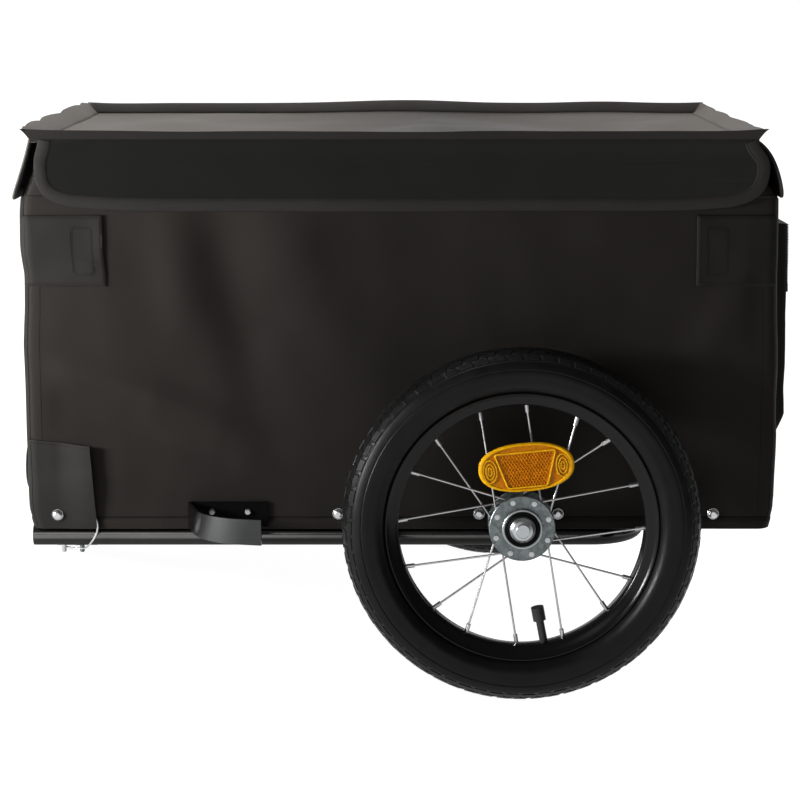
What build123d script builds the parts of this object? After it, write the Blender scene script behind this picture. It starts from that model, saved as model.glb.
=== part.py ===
# Two-wheeled bicycle cargo trailer: a U-shaped tube chassis under a fabric
# box on a tube frame, a lid hinged along its right top edge, two 14-inch
# spoked wheels outside the box, and a drawbar folded across the front.
#
# Everything is modelled level: +X rearward, +Y to the trailer's right,
# +Z up, ground at Z = 0, millimetres. A single-axle trailer with no stand
# parks nose down on its front rail end, so at the end each finished piece
# is turned about the axle line into that parked attitude.
import os
from math import cos, sin, radians

from build123d import *

os.makedirs("parts", exist_ok=True)

# ---------------------------------------------------------------- dimensions
body_length = 740.0        # fabric box, outside
body_width = 450.0
fabric = 2.5               # wall thickness of the padded fabric
hem_z = 156.0              # lower edge of the fabric
front_hem_z = 163.0        # the front wall clears the swinging drawbar
shoulder_z = 484.0         # where the end walls start to lean inwards
top_z = 533.0              # upper edge of the fabric box
front_top_x = -350.5       # end walls' upper edges
rear_top_x = 339.0

rail_d = 22.0              # chassis tube
rail_wall = 1.5
rail_y = 210.5
rail_z = 147.0
rail_bend = 45.0
rail_front_x = -366.0      # left rail's open front end
rail_front_right_x = -300.0  # right rail ends short of the folded drawbar
rail_rear_x = 237.0

frame_w = 20.0             # floor frame bars
frame_y = 209.0
frame_z0, frame_z1 = 158.0, 183.0
cross_z0 = 163.0
frame_half = 363.0
floor_t = 3.0

box_tube_d = 14.0          # upper frame and corner posts
box_ring_z = 526.0
box_front_x, box_rear_x = -342.0, 331.0
box_y = 212.0
post_y = 190.0

axle_x, axle_z = 117.5, 174.0
axle_r = 6.0
axle_clear = 0.05
wheel_y = 283.0            # wheel mid-plane from the centre line
tyre_r, tyre_section = 174.0, 23.5
bead_r = 131.0
rim_inner_r, rim_half = 119.1, 13.8
flange_r, flange_y, flange_t = 32.0, 15.0, 3.0
hub_half = 19.5
spoke_r = 1.0
spoke_hole_r = 26.8
spoke_rim_angles = (110.0, 88.3, 63.7, 44.5)    # repeated every quarter turn
spoke_hub_angles = (155.0, 42.5, 20.0, 87.5)
spoke_seats = (12.9, 10.1, 10.1, 12.9)          # where each runs beside its flange

lid_z0, lid_z1 = 538.5, 541.0
lid_x0, lid_x1 = -357.0, 346.0
lid_y0, lid_y1 = -232.7, 230.0
rim_top_z = 553.5

arm_d = 20.0               # folded drawbar
arm_x, arm_pivot_y = -325.0, -183.0
arm_end_y = 162.0
flex_len = 35.0
clevis_bore_r = 4.0

park_angle = 16.53         # nose-down attitude on the left rail end
park_shift_x = 44.17       # puts the origin under the middle of the box

# --------------------------------------------------------------- chassis
with BuildPart() as chassis_tube:
    with BuildLine() as chassis_path:
        FilletPolyline(
            (rail_front_x, -rail_y, rail_z),
            (rail_rear_x, -rail_y, rail_z),
            (rail_rear_x, rail_y, rail_z),
            (rail_front_right_x, rail_y, rail_z),
            radius=rail_bend,
        )
    with BuildSketch(Plane(origin=chassis_path.line @ 0, z_dir=chassis_path.line % 0)):
        Circle(rail_d / 2)
        Circle(rail_d / 2 - rail_wall, mode=Mode.SUBTRACT)
    sweep()
    # holes in the left rail's lower wall for the lock pin and bracket bolt
    with BuildSketch(Plane.XY.offset(rail_z - rail_d / 2 - 1)):
        with Locations((-336.5, -rail_y), (-318.5, -rail_y)):
            Circle(2.45)
    extrude(amount=8, mode=Mode.SUBTRACT)

with BuildPart() as floor_frame:
    with BuildSketch(Plane.XY.offset(frame_z0)):
        with Locations((0, -frame_y), (0, frame_y)):
            Rectangle(2 * frame_half, frame_w)
    extrude(amount=frame_z1 - frame_z0)
    with BuildSketch(Plane.XY.offset(cross_z0)):
        with Locations((-frame_half + 8, 0), (-120, 0), (frame_half - 8, 0)):
            Rectangle(16, 2 * frame_y)
        with Locations((axle_x, 0)):
            Rectangle(26, 2 * frame_y)
    extrude(amount=frame_z1 - cross_z0)
    # sockets for the two quick-release axles
    with BuildSketch(Plane.XZ.offset(frame_y + frame_w / 2)):
        with Locations((axle_x, axle_z)):
            Circle(axle_r + axle_clear)
    extrude(amount=-60, mode=Mode.SUBTRACT)
    with BuildSketch(Plane.XZ.offset(-frame_y - frame_w / 2)):
        with Locations((axle_x, axle_z)):
            Circle(axle_r + axle_clear)
    extrude(amount=60, mode=Mode.SUBTRACT)

with BuildPart() as axle_receiver_left:
    with BuildSketch(Plane.XZ.offset(219)):
        with Locations((axle_x, 171)):
            RectangleRounded(96, 24, 4)
    extrude(amount=3)
    with BuildSketch(Plane.XZ.offset(222)):
        with Locations((axle_x, axle_z)):
            Circle(12)
    extrude(amount=40)
    chamfer(axle_receiver_left.faces().sort_by(Axis.Y)[0].outer_wire().edges(), 1)
    with BuildSketch(Plane.XZ.offset(219)):
        with Locations((axle_x, axle_z)):
            Circle(axle_r + axle_clear)
    extrude(amount=43, mode=Mode.SUBTRACT)

with BuildPart() as axle_receiver_right:
    mirror(axle_receiver_left.part, about=Plane.XZ)

# ------------------------------------------------------------ floor and box
with BuildPart() as floor_panel:
    with BuildSketch(Plane.XY.offset(frame_z1)):
        Rectangle(body_length - 2 * fabric, body_width - 2 * fabric - 1)
    extrude(amount=floor_t)

with BuildPart() as side_panel_left:
    with BuildSketch(Plane.XZ.offset(body_width / 2 - fabric)):
        with BuildLine():
            Polyline(
                (-body_length / 2, hem_z),
                (body_length / 2, hem_z),
                (body_length / 2, shoulder_z),
                (rear_top_x, top_z),
                (front_top_x, top_z),
                (-body_length / 2, shoulder_z),
                close=True,
            )
        make_face()
        with Locations((axle_x, axle_z)):
            Circle(13, mode=Mode.SUBTRACT)
    extrude(amount=fabric)

with BuildPart() as side_panel_right:
    mirror(side_panel_left.part, about=Plane.XZ)

end_half = body_width / 2 - fabric
with BuildPart() as front_panel:
    with BuildSketch(Plane.XZ):
        with BuildLine():
            Polyline(
                (-body_length / 2, front_hem_z),
                (-body_length / 2, shoulder_z),
                (front_top_x, top_z),
                (front_top_x + 2.6, top_z),
                (-body_length / 2 + fabric, shoulder_z - 0.4),
                (-body_length / 2 + fabric, front_hem_z),
                close=True,
            )
        make_face()
    extrude(amount=end_half, both=True)

with BuildPart() as rear_panel:
    with BuildSketch(Plane.XZ):
        with BuildLine():
            Polyline(
                (body_length / 2, hem_z),
                (body_length / 2, shoulder_z),
                (rear_top_x, top_z),
                (rear_top_x - 2.8, top_z),
                (body_length / 2 - fabric, shoulder_z - 0.6),
                (body_length / 2 - fabric, hem_z),
                close=True,
            )
        make_face()
    extrude(amount=end_half, both=True)

# upper ring and its four corner posts, one welded tube frame
with BuildPart() as box_frame:
    with BuildLine() as ring_path:
        FilletPolyline(
            (box_rear_x, -box_y, box_ring_z),
            (box_rear_x, box_y, box_ring_z),
            (box_front_x, box_y, box_ring_z),
            (box_front_x, -box_y, box_ring_z),
            radius=20,
            close=True,
        )
    with BuildSketch(Plane(origin=ring_path.line @ 0, z_dir=ring_path.line % 0)):
        Circle(box_tube_d / 2)
    sweep()
    with BuildSketch(Plane.XY.offset(frame_z1 + floor_t)):
        with Locations(
            (box_front_x, -post_y), (box_front_x, post_y),
            (box_rear_x, -post_y), (box_rear_x, post_y),
        ):
            Circle(box_tube_d / 2)
    extrude(amount=box_ring_z - frame_z1 - floor_t)

with BuildPart() as rear_pocket:
    with BuildSketch(Plane.YZ.offset(body_length / 2)):
        with Locations((0, 355.5)):
            RectangleRounded(380, 211, 16)
    extrude(amount=14)
    fillet(rear_pocket.faces().sort_by(Axis.X)[-1].edges(), 6)

with BuildPart() as front_reflectors:
    with BuildSketch(Plane.YZ.offset(-body_length / 2 - 5.5)):
        with Locations((-172, 210), (172, 210)):
            Circle(24.5)
    extrude(amount=5.5)
    fillet(front_reflectors.edges().group_by(Axis.X)[0], 1.5)

with BuildPart() as rear_reflectors:
    with BuildSketch(Plane.YZ.offset(body_length / 2)):
        with Locations((-172, 210), (172, 210)):
            Circle(24.5)
    extrude(amount=5.5)
    fillet(rear_reflectors.edges().group_by(Axis.X)[-1], 1.5)

# spring-steel strip that keeps kerbs and posts off the wheel
with BuildPart() as wheel_guard_left:
    with BuildLine() as guard_path:
        FilletPolyline(
            (-131, -226.5, 171),
            (-210, -226.5, 171),
            (-190, -292, 171),
            (-133, -303, 171),
            radius=(4, 60),
        )
    with BuildSketch(Plane(origin=guard_path.line @ 0, x_dir=(0, 0, 1), z_dir=guard_path.line % 0)):
        Rectangle(25, 3)
    sweep()

with BuildPart() as wheel_guard_right:
    mirror(wheel_guard_left.part, about=Plane.XZ)

# ------------------------------------------------------------------- lid
with BuildPart() as lid_panel:
    with BuildSketch(Plane.XY.offset(lid_z0)):
        with Locations(((lid_x0 + lid_x1) / 2, (lid_y0 + lid_y1) / 2)):
            Rectangle(lid_x1 - lid_x0, lid_y1 - lid_y0)
    extrude(amount=lid_z1 - lid_z0)

rim_x0, rim_x1, rim_y0, rim_y1 = -365.0, 355.5, -239.0, 236.0
with BuildPart() as lid_rim:
    with BuildSketch(Plane.XY.offset(lid_z1)):
        with Locations(((lid_x0 + lid_x1) / 2, (lid_y0 + lid_y1) / 2)):
            Rectangle(lid_x1 - lid_x0, lid_y1 - lid_y0)
    with BuildSketch(Plane.XY.offset(rim_top_z)):
        with Locations(((rim_x0 + rim_x1) / 2, (rim_y0 + rim_y1) / 2)):
            Rectangle(rim_x1 - rim_x0, rim_y1 - rim_y0)
    loft()
    with BuildSketch(Plane.XY.offset(lid_z1)):
        with Locations(((lid_x0 + lid_x1) / 2, (lid_y0 + lid_y1) / 2)):
            Rectangle(lid_x1 - lid_x0 - 6, lid_y1 - lid_y0 - 6)
    with BuildSketch(Plane.XY.offset(rim_top_z)):
        with Locations(((rim_x0 + rim_x1) / 2, (rim_y0 + rim_y1) / 2)):
            Rectangle(rim_x1 - rim_x0 - 6, rim_y1 - rim_y0 - 6)
    loft(mode=Mode.SUBTRACT)

with BuildPart() as lid_skirt_left:
    with BuildSketch(Plane.XZ.offset(230.2)):
        with BuildLine():
            Polyline(
                (-355, lid_z0), (-356, 472), (357, 472), (346, lid_z0), close=True
            )
        make_face()
        fillet(vertices().group_by(Axis.Y)[0], 40)
    extrude(amount=fabric)

with BuildPart() as lid_skirt_front:
    with BuildSketch(Plane.XZ.offset(230.2)):
        with BuildLine():
            Polyline(
                (lid_x0, lid_z0), (-375.4, 482), (-372.9, 481.4), (-354.4, lid_z0), close=True
            )
        make_face()
    extrude(amount=-452)

with BuildPart() as lid_skirt_rear:
    with BuildSketch(Plane.XZ.offset(230.2)):
        with BuildLine():
            Polyline(
                (lid_x1, lid_z0), (361.5, 521), (374.4, 482),
                (371.9, 481.5), (359.2, 520), (343, lid_z0), close=True,
            )
        make_face()
    extrude(amount=-452)

# --------------------------------------------------------------- left wheel
wheel_axis = Axis((axle_x, -wheel_y, axle_z), (0, 1, 0))
# local x is the radius, local y runs inboard along the axle
wheel_plane = Plane(origin=(axle_x, -wheel_y, axle_z), x_dir=(0, 0, 1), z_dir=(-1, 0, 0))

with BuildPart() as tyre_left:
    with BuildSketch(wheel_plane):
        with Locations((tyre_r - tyre_section, 0)):
            Circle(tyre_section)
        with Locations((bead_r - 30, 0)):
            Rectangle(60, 80, mode=Mode.SUBTRACT)
    revolve(axis=wheel_axis)

with BuildPart() as rim_left:
    with BuildSketch(wheel_plane):
        with BuildLine():
            Polyline(
                (bead_r - 0.2, -rim_half), (bead_r - 0.2, rim_half),
                (121.2, rim_half), (rim_inner_r, 11.6),
                (rim_inner_r, -11.6), (121.2, -rim_half), close=True,
            )
        make_face()
    revolve(axis=wheel_axis)

with BuildPart() as hub_left:
    with BuildSketch(wheel_plane):
        with BuildLine():
            Polyline(
                (axle_r + axle_clear, -hub_half), (18, -hub_half), (19, -18.5), (19, -16.5),
                (flange_r - 0.8, -16.5), (flange_r, -15.7), (flange_r, -14.3), (flange_r - 0.8, -13.5),
                (18, -13.5), (16, -11), (16, 11), (18, 13.5),
                (flange_r - 0.8, 13.5), (flange_r, 14.3), (flange_r, 15.7), (flange_r - 0.8, 16.5),
                (19, 16.5), (19, 18.5), (18, hub_half), (axle_r + axle_clear, hub_half),
                close=True,
            )
        make_face()
    revolve(axis=wheel_axis)

with BuildPart() as axle_left:
    with BuildSketch(wheel_plane):
        with BuildLine():
            Polyline(
                (0, -29), (6.3, -29), (6.8, -28.5), (6.8, -27), (9.6, -26.4), (12.2, -23.6),
                (12.2, -20.5), (axle_r, -20.5), (axle_r, 118), (axle_r - 1, 119), (0, 119),
                close=True,
            )
        make_face()
    revolve(axis=wheel_axis)

# sixteen spokes, eight to a flange, all laced from the flange's outer face and
# running down its inner face, each crossing one neighbour
spoke_ends = []
for i in range(16):
    rim_angle = radians(spoke_rim_angles[i % 4] - 90 * (i // 4))
    hub_angle = radians(spoke_hub_angles[i % 4] - 90 * (i // 4))
    side = -1 if i % 2 == 0 else 1          # outboard flange first
    start = Vector(
        axle_x + spoke_hole_r * cos(hub_angle),
        -wheel_y + side * spoke_seats[i % 4],
        axle_z + spoke_hole_r * sin(hub_angle),
    )
    stop = Vector(
        axle_x + 119.9 * cos(rim_angle), -wheel_y + side * 2.5, axle_z + 119.9 * sin(rim_angle)
    )
    spoke_ends.append((start, stop, side))

with BuildPart() as spokes_left:
    for start, stop, side in spoke_ends:
        run = stop - start
        with BuildSketch(Plane(origin=start, z_dir=run)):
            Circle(spoke_r)
        extrude(amount=run.length)
        with BuildSketch(Plane(origin=stop, z_dir=run)):
            Circle(2.1)
        extrude(amount=-9.5)
        # elbow through the flange, and the head on its outer face
        seat = abs(start.Y + wheel_y) - 1.4
        elbow = Plane(
            origin=(start.X, -wheel_y + side * seat, start.Z), x_dir=(1, 0, 0), z_dir=(0, side, 0)
        )
        with BuildSketch(elbow):
            Circle(1.3)
        extrude(amount=17.9 - seat)
        with BuildSketch(elbow.offset(16.3 - seat)):
            Circle(2.5)
        extrude(amount=1.1)

valve_dir = Vector(cos(radians(-79)), 0, sin(radians(-79)))
wheel_centre = Vector(axle_x, -wheel_y, axle_z)
with BuildPart() as valve_left:
    with BuildSketch(Plane(origin=wheel_centre + valve_dir * 118.9, z_dir=-valve_dir)):
        Circle(3.9)
    extrude(amount=21.9)
    with BuildSketch(Plane(origin=wheel_centre + valve_dir * 97, z_dir=-valve_dir)):
        Circle(6.3)
    extrude(amount=13.5)

# oval reflector outboard of the spokes, clipped to two of them behind its ends
reflector_tilt = radians(5.5)
with BuildPart() as wheel_reflector_left:
    with BuildSketch(
        Plane(
            origin=(axle_x + 3.5, -wheel_y - 16, axle_z + 59.7),
            x_dir=(cos(reflector_tilt), 0, sin(reflector_tilt)),
            z_dir=(0, -1, 0),
        )
    ) as reflector_face:
        Ellipse(46, 23.5)
    extrude(amount=-5)
    with BuildSketch(
        Plane(
            origin=(axle_x + 3.5, -wheel_y - 11.2, axle_z + 59.7),
            x_dir=(cos(reflector_tilt), 0, sin(reflector_tilt)),
            z_dir=(0, -1, 0),
        )
    ):
        with Locations((-35, -3), (35, -3)):
            RectangleRounded(9, 14, 2)
    extrude(amount=-4)

# -------------------------------------------------------------- right wheel
with BuildPart() as tyre_right:
    mirror(tyre_left.part, about=Plane.XZ)
with BuildPart() as rim_right:
    mirror(rim_left.part, about=Plane.XZ)
with BuildPart() as hub_right:
    mirror(hub_left.part, about=Plane.XZ)
with BuildPart() as axle_right:
    mirror(axle_left.part, about=Plane.XZ)
with BuildPart() as spokes_right:
    mirror(spokes_left.part, about=Plane.XZ)
with BuildPart() as valve_right:
    mirror(valve_left.part, about=Plane.XZ)
with BuildPart() as wheel_reflector_right:
    mirror(wheel_reflector_left.part, about=Plane.XZ)

# ------------------------------------------------------------------ drawbar
# bracket on the inner side of the left rail, open inboard and forwards
with BuildPart() as tow_bracket:
    with BuildSketch(Plane.YZ.offset(-345)):
        with BuildLine():
            Polyline(
                (-199, 161.5), (-199, 132.5), (-169, 132.5), (-169, 135.5),
                (-196, 135.5), (-196, 158.5), (-169, 158.5), (-169, 161.5), close=True,
            )
        make_face()
    extrude(amount=40)
    with BuildSketch(Plane.XY.offset(130)):
        with Locations((arm_x, arm_pivot_y)):
            Circle(4.05)
    extrude(amount=36, mode=Mode.SUBTRACT)

with BuildPart() as tow_pivot_pin:
    with BuildSketch(Plane.XY.offset(129.5)):
        with Locations((arm_x, arm_pivot_y)):
            RegularPolygon(6.4, 6)
    extrude(amount=3)
    with BuildSketch(Plane.XY.offset(132.5)):
        with Locations((arm_x, arm_pivot_y)):
            Circle(4)
    extrude(amount=29)
    with BuildSketch(Plane.XY.offset(161.5)):
        with Locations((arm_x, arm_pivot_y)):
            Circle(6.4)
    extrude(amount=3)

with BuildPart() as tow_arm:
    with BuildSketch(Plane.XZ.offset(-arm_pivot_y)):
        with Locations((arm_x, rail_z)):
            Circle(arm_d / 2)
    extrude(amount=-(arm_end_y - arm_pivot_y))
    with BuildSketch(Plane.XY.offset(rail_z - 9)):
        with Locations((arm_x, arm_pivot_y)):
            Circle(10)
    extrude(amount=18)
    with BuildSketch(Plane.XY.offset(rail_z - 12)):
        with Locations((arm_x, arm_pivot_y)):
            Circle(4.05)
    extrude(amount=24, mode=Mode.SUBTRACT)

with BuildPart() as hitch_flex:
    with BuildSketch(Plane.XZ.offset(-arm_end_y)):
        with Locations((arm_x, rail_z)):
            Circle(9)
    extrude(amount=-flex_len)

clevis_y = arm_end_y + flex_len
with BuildPart() as hitch_clevis:
    with BuildSketch(Plane.XZ.offset(-clevis_y)):
        with Locations((arm_x, rail_z)):
            Rectangle(20, 18)
    extrude(amount=-10)
    with BuildSketch(Plane.XZ.offset(-clevis_y - 10)):
        with Locations((arm_x - 8, rail_z), (arm_x + 8, rail_z)):
            Rectangle(4, 18)
    extrude(amount=-29)
    fillet(hitch_clevis.edges().filter_by(Axis.X).group_by(Axis.Y)[-1], 8)
    with BuildSketch(Plane.YZ.offset(arm_x - 12)):
        with Locations((clevis_y + 29, rail_z)):
            Circle(clevis_bore_r)
    extrude(amount=24, mode=Mode.SUBTRACT)

with BuildPart() as lock_pin:
    with BuildSketch(Plane.XY.offset(128.5)):
        with Locations((-336.5, -rail_y)):
            Circle(2.4)
    extrude(amount=27.4)
    chamfer(lock_pin.edges().group_by(Axis.Z)[0], 0.8)

with BuildPart() as bracket_bolt:
    with BuildSketch(Plane.XY.offset(128.5)):
        with Locations((-318.5, -rail_y)):
            Circle(2.4)
    extrude(amount=27.4)
    chamfer(bracket_bolt.edges().group_by(Axis.Z)[0], 0.8)

# ------------------------------------------------------ parked attitude, out
parked = (
    Location((park_shift_x, 0, 0))
    * Location((axle_x, 0, axle_z))
    * Location((0, 0, 0), (0, -park_angle, 0))
    * Location((-axle_x, 0, -axle_z))
)

chassis_tube.part.move(parked)
chassis_tube.part.label = "chassis_tube"
export_step(chassis_tube.part, "parts/chassis_tube.step")

floor_frame.part.move(parked)
floor_frame.part.label = "floor_frame"
export_step(floor_frame.part, "parts/floor_frame.step")

floor_panel.part.move(parked)
floor_panel.part.label = "floor_panel"
export_step(floor_panel.part, "parts/floor_panel.step")

axle_receiver_left.part.move(parked)
axle_receiver_left.part.label = "axle_receiver_left"
export_step(axle_receiver_left.part, "parts/axle_receiver_left.step")

axle_receiver_right.part.move(parked)
axle_receiver_right.part.label = "axle_receiver_right"
export_step(axle_receiver_right.part, "parts/axle_receiver_right.step")

side_panel_left.part.move(parked)
side_panel_left.part.label = "side_panel_left"
export_step(side_panel_left.part, "parts/side_panel_left.step")

side_panel_right.part.move(parked)
side_panel_right.part.label = "side_panel_right"
export_step(side_panel_right.part, "parts/side_panel_right.step")

front_panel.part.move(parked)
front_panel.part.label = "front_panel"
export_step(front_panel.part, "parts/front_panel.step")

rear_panel.part.move(parked)
rear_panel.part.label = "rear_panel"
export_step(rear_panel.part, "parts/rear_panel.step")

box_frame.part.move(parked)
box_frame.part.label = "box_frame"
export_step(box_frame.part, "parts/box_frame.step")

rear_pocket.part.move(parked)
rear_pocket.part.label = "rear_pocket"
export_step(rear_pocket.part, "parts/rear_pocket.step")

front_reflectors.part.move(parked)
front_reflectors.part.label = "front_reflectors"
export_step(front_reflectors.part, "parts/front_reflectors.step")

rear_reflectors.part.move(parked)
rear_reflectors.part.label = "rear_reflectors"
export_step(rear_reflectors.part, "parts/rear_reflectors.step")

wheel_guard_left.part.move(parked)
wheel_guard_left.part.label = "wheel_guard_left"
export_step(wheel_guard_left.part, "parts/wheel_guard_left.step")

wheel_guard_right.part.move(parked)
wheel_guard_right.part.label = "wheel_guard_right"
export_step(wheel_guard_right.part, "parts/wheel_guard_right.step")

lid_panel.part.move(parked)
lid_panel.part.label = "lid_panel"
export_step(lid_panel.part, "parts/lid_panel.step")

lid_rim.part.move(parked)
lid_rim.part.label = "lid_rim"
export_step(lid_rim.part, "parts/lid_rim.step")

lid_skirt_left.part.move(parked)
lid_skirt_left.part.label = "lid_skirt_left"
export_step(lid_skirt_left.part, "parts/lid_skirt_left.step")

lid_skirt_front.part.move(parked)
lid_skirt_front.part.label = "lid_skirt_front"
export_step(lid_skirt_front.part, "parts/lid_skirt_front.step")

lid_skirt_rear.part.move(parked)
lid_skirt_rear.part.label = "lid_skirt_rear"
export_step(lid_skirt_rear.part, "parts/lid_skirt_rear.step")

tyre_left.part.move(parked)
tyre_left.part.label = "tyre_left"
export_step(tyre_left.part, "parts/tyre_left.step")

rim_left.part.move(parked)
rim_left.part.label = "rim_left"
export_step(rim_left.part, "parts/rim_left.step")

hub_left.part.move(parked)
hub_left.part.label = "hub_left"
export_step(hub_left.part, "parts/hub_left.step")

axle_left.part.move(parked)
axle_left.part.label = "axle_left"
export_step(axle_left.part, "parts/axle_left.step")

spokes_left.part.move(parked)
spokes_left.part.label = "spokes_left"
export_step(spokes_left.part, "parts/spokes_left.step")

valve_left.part.move(parked)
valve_left.part.label = "valve_left"
export_step(valve_left.part, "parts/valve_left.step")

wheel_reflector_left.part.move(parked)
wheel_reflector_left.part.label = "wheel_reflector_left"
export_step(wheel_reflector_left.part, "parts/wheel_reflector_left.step")

tyre_right.part.move(parked)
tyre_right.part.label = "tyre_right"
export_step(tyre_right.part, "parts/tyre_right.step")

rim_right.part.move(parked)
rim_right.part.label = "rim_right"
export_step(rim_right.part, "parts/rim_right.step")

hub_right.part.move(parked)
hub_right.part.label = "hub_right"
export_step(hub_right.part, "parts/hub_right.step")

axle_right.part.move(parked)
axle_right.part.label = "axle_right"
export_step(axle_right.part, "parts/axle_right.step")

spokes_right.part.move(parked)
spokes_right.part.label = "spokes_right"
export_step(spokes_right.part, "parts/spokes_right.step")

valve_right.part.move(parked)
valve_right.part.label = "valve_right"
export_step(valve_right.part, "parts/valve_right.step")

wheel_reflector_right.part.move(parked)
wheel_reflector_right.part.label = "wheel_reflector_right"
export_step(wheel_reflector_right.part, "parts/wheel_reflector_right.step")

tow_bracket.part.move(parked)
tow_bracket.part.label = "tow_bracket"
export_step(tow_bracket.part, "parts/tow_bracket.step")

tow_pivot_pin.part.move(parked)
tow_pivot_pin.part.label = "tow_pivot_pin"
export_step(tow_pivot_pin.part, "parts/tow_pivot_pin.step")

tow_arm.part.move(parked)
tow_arm.part.label = "tow_arm"
export_step(tow_arm.part, "parts/tow_arm.step")

hitch_flex.part.move(parked)
hitch_flex.part.label = "hitch_flex"
export_step(hitch_flex.part, "parts/hitch_flex.step")

hitch_clevis.part.move(parked)
hitch_clevis.part.label = "hitch_clevis"
export_step(hitch_clevis.part, "parts/hitch_clevis.step")

lock_pin.part.move(parked)
lock_pin.part.label = "lock_pin"
export_step(lock_pin.part, "parts/lock_pin.step")

bracket_bolt.part.move(parked)
bracket_bolt.part.label = "bracket_bolt"
export_step(bracket_bolt.part, "parts/bracket_bolt.step")
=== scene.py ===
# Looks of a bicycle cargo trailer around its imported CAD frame: camera, studio, materials, the fabric
# box and its lid, tyres, reflectors, bolts and stitching.
# Soft pieces are drawn in millimetres on the level trailer (+X to the rear, +Y to its right, +Z up,
# ground at 0) and are then parked nose down on the front rail, as the CAD is.
import math

import bmesh
import bpy
import numpy as np
from mathutils import Matrix, Vector


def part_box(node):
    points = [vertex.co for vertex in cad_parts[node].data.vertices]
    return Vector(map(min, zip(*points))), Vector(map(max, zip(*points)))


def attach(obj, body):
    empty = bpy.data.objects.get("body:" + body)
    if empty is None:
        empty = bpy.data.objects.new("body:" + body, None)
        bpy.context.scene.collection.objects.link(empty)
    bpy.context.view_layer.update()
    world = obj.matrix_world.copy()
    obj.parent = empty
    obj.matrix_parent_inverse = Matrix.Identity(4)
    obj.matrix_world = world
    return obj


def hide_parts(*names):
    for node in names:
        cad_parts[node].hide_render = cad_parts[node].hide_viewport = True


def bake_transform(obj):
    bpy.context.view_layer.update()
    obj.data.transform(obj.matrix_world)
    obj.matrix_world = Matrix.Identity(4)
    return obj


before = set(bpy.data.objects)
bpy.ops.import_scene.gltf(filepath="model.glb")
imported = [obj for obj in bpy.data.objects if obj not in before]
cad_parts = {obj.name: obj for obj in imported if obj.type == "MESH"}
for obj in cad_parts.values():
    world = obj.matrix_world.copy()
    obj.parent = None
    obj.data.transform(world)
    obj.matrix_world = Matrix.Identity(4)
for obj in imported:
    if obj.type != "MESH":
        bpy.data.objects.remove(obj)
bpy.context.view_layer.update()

PARK = (
    Matrix.Translation((0.16167, 0.0, 0.174))
    @ Matrix.Rotation(math.radians(-16.53), 4, "Y")
    @ Matrix.Translation((-0.1175, 0.0, -0.174))
)
PARK_R = np.array(PARK.to_3x3())
PARK_T = np.array(PARK.translation)


def parked(p):
    """A level point in millimetres as a point of the parked trailer in metres."""
    return tuple(np.asarray(p, float) * 0.001 @ PARK_R.T + PARK_T)


# ---------------------------------------------------------------- camera
cam_data = bpy.data.cameras.new("camera")
cam_data.sensor_width = 36.0
cam_data.lens = 100.1
cam_data.shift_y = -0.10
cam_data.clip_start = 0.05
cam_data.clip_end = 200.0
camera = bpy.data.objects.new("camera", cam_data)
bpy.context.scene.collection.objects.link(camera)
camera.matrix_world = (
    PARK
    @ Matrix.Translation((0.0, -2.3827, 0.6881))
    @ Matrix.Rotation(math.radians(90.0 - 8.501), 4, "X")
)
bpy.context.scene.camera = camera


# ---------------------------------------------------------------- small maths
def smooth(lo, hi, x):
    t = np.clip((np.asarray(x, float) - lo) / (hi - lo), 0.0, 1.0)
    return t * t * (3.0 - 2.0 * t)


_grids = {}


def noise(x, y, seed):
    """Smooth noise from -1 to 1 with one cell a unit."""
    if seed not in _grids:
        _grids[seed] = np.random.RandomState(seed).uniform(-1.0, 1.0, (64, 64))
    g = _grids[seed]
    x, y = np.broadcast_arrays(np.asarray(x, float), np.asarray(y, float))
    xi, yi = np.floor(x).astype(int), np.floor(y).astype(int)
    fx, fy = x - xi, y - yi
    fx = fx * fx * fx * (fx * (fx * 6 - 15) + 10)
    fy = fy * fy * fy * (fy * (fy * 6 - 15) + 10)
    a, b = g[xi % 64, yi % 64], g[(xi + 1) % 64, yi % 64]
    c, d = g[xi % 64, (yi + 1) % 64], g[(xi + 1) % 64, (yi + 1) % 64]
    return (a + (b - a) * fx) * (1 - fy) + (c + (d - c) * fx) * fy


def fbm(x, y, seed, octaves=3):
    total, size, scale = 0.0, 1.0, 1.0
    for k in range(octaves):
        total = total + size * noise(x * scale + 7.3 * k, y * scale + 3.1 * k, seed + k)
        size, scale = size * 0.5, scale * 2.03
    return total


def ridge(a, b, a0, b0, a1, b1, width, height):
    """A soft fold along a line on a wall."""
    da, db = a1 - a0, b1 - b0
    t = np.clip(((a - a0) * da + (b - b0) * db) / (da * da + db * db), 0.0, 1.0)
    d = np.hypot(a - a0 - t * da, b - b0 - t * db)
    ends = 0.35 + 0.65 * np.sin(np.pi * np.clip(t, 0.02, 0.98)) ** 0.6
    return height * ends * np.exp(-((d / width) ** 2))


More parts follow.
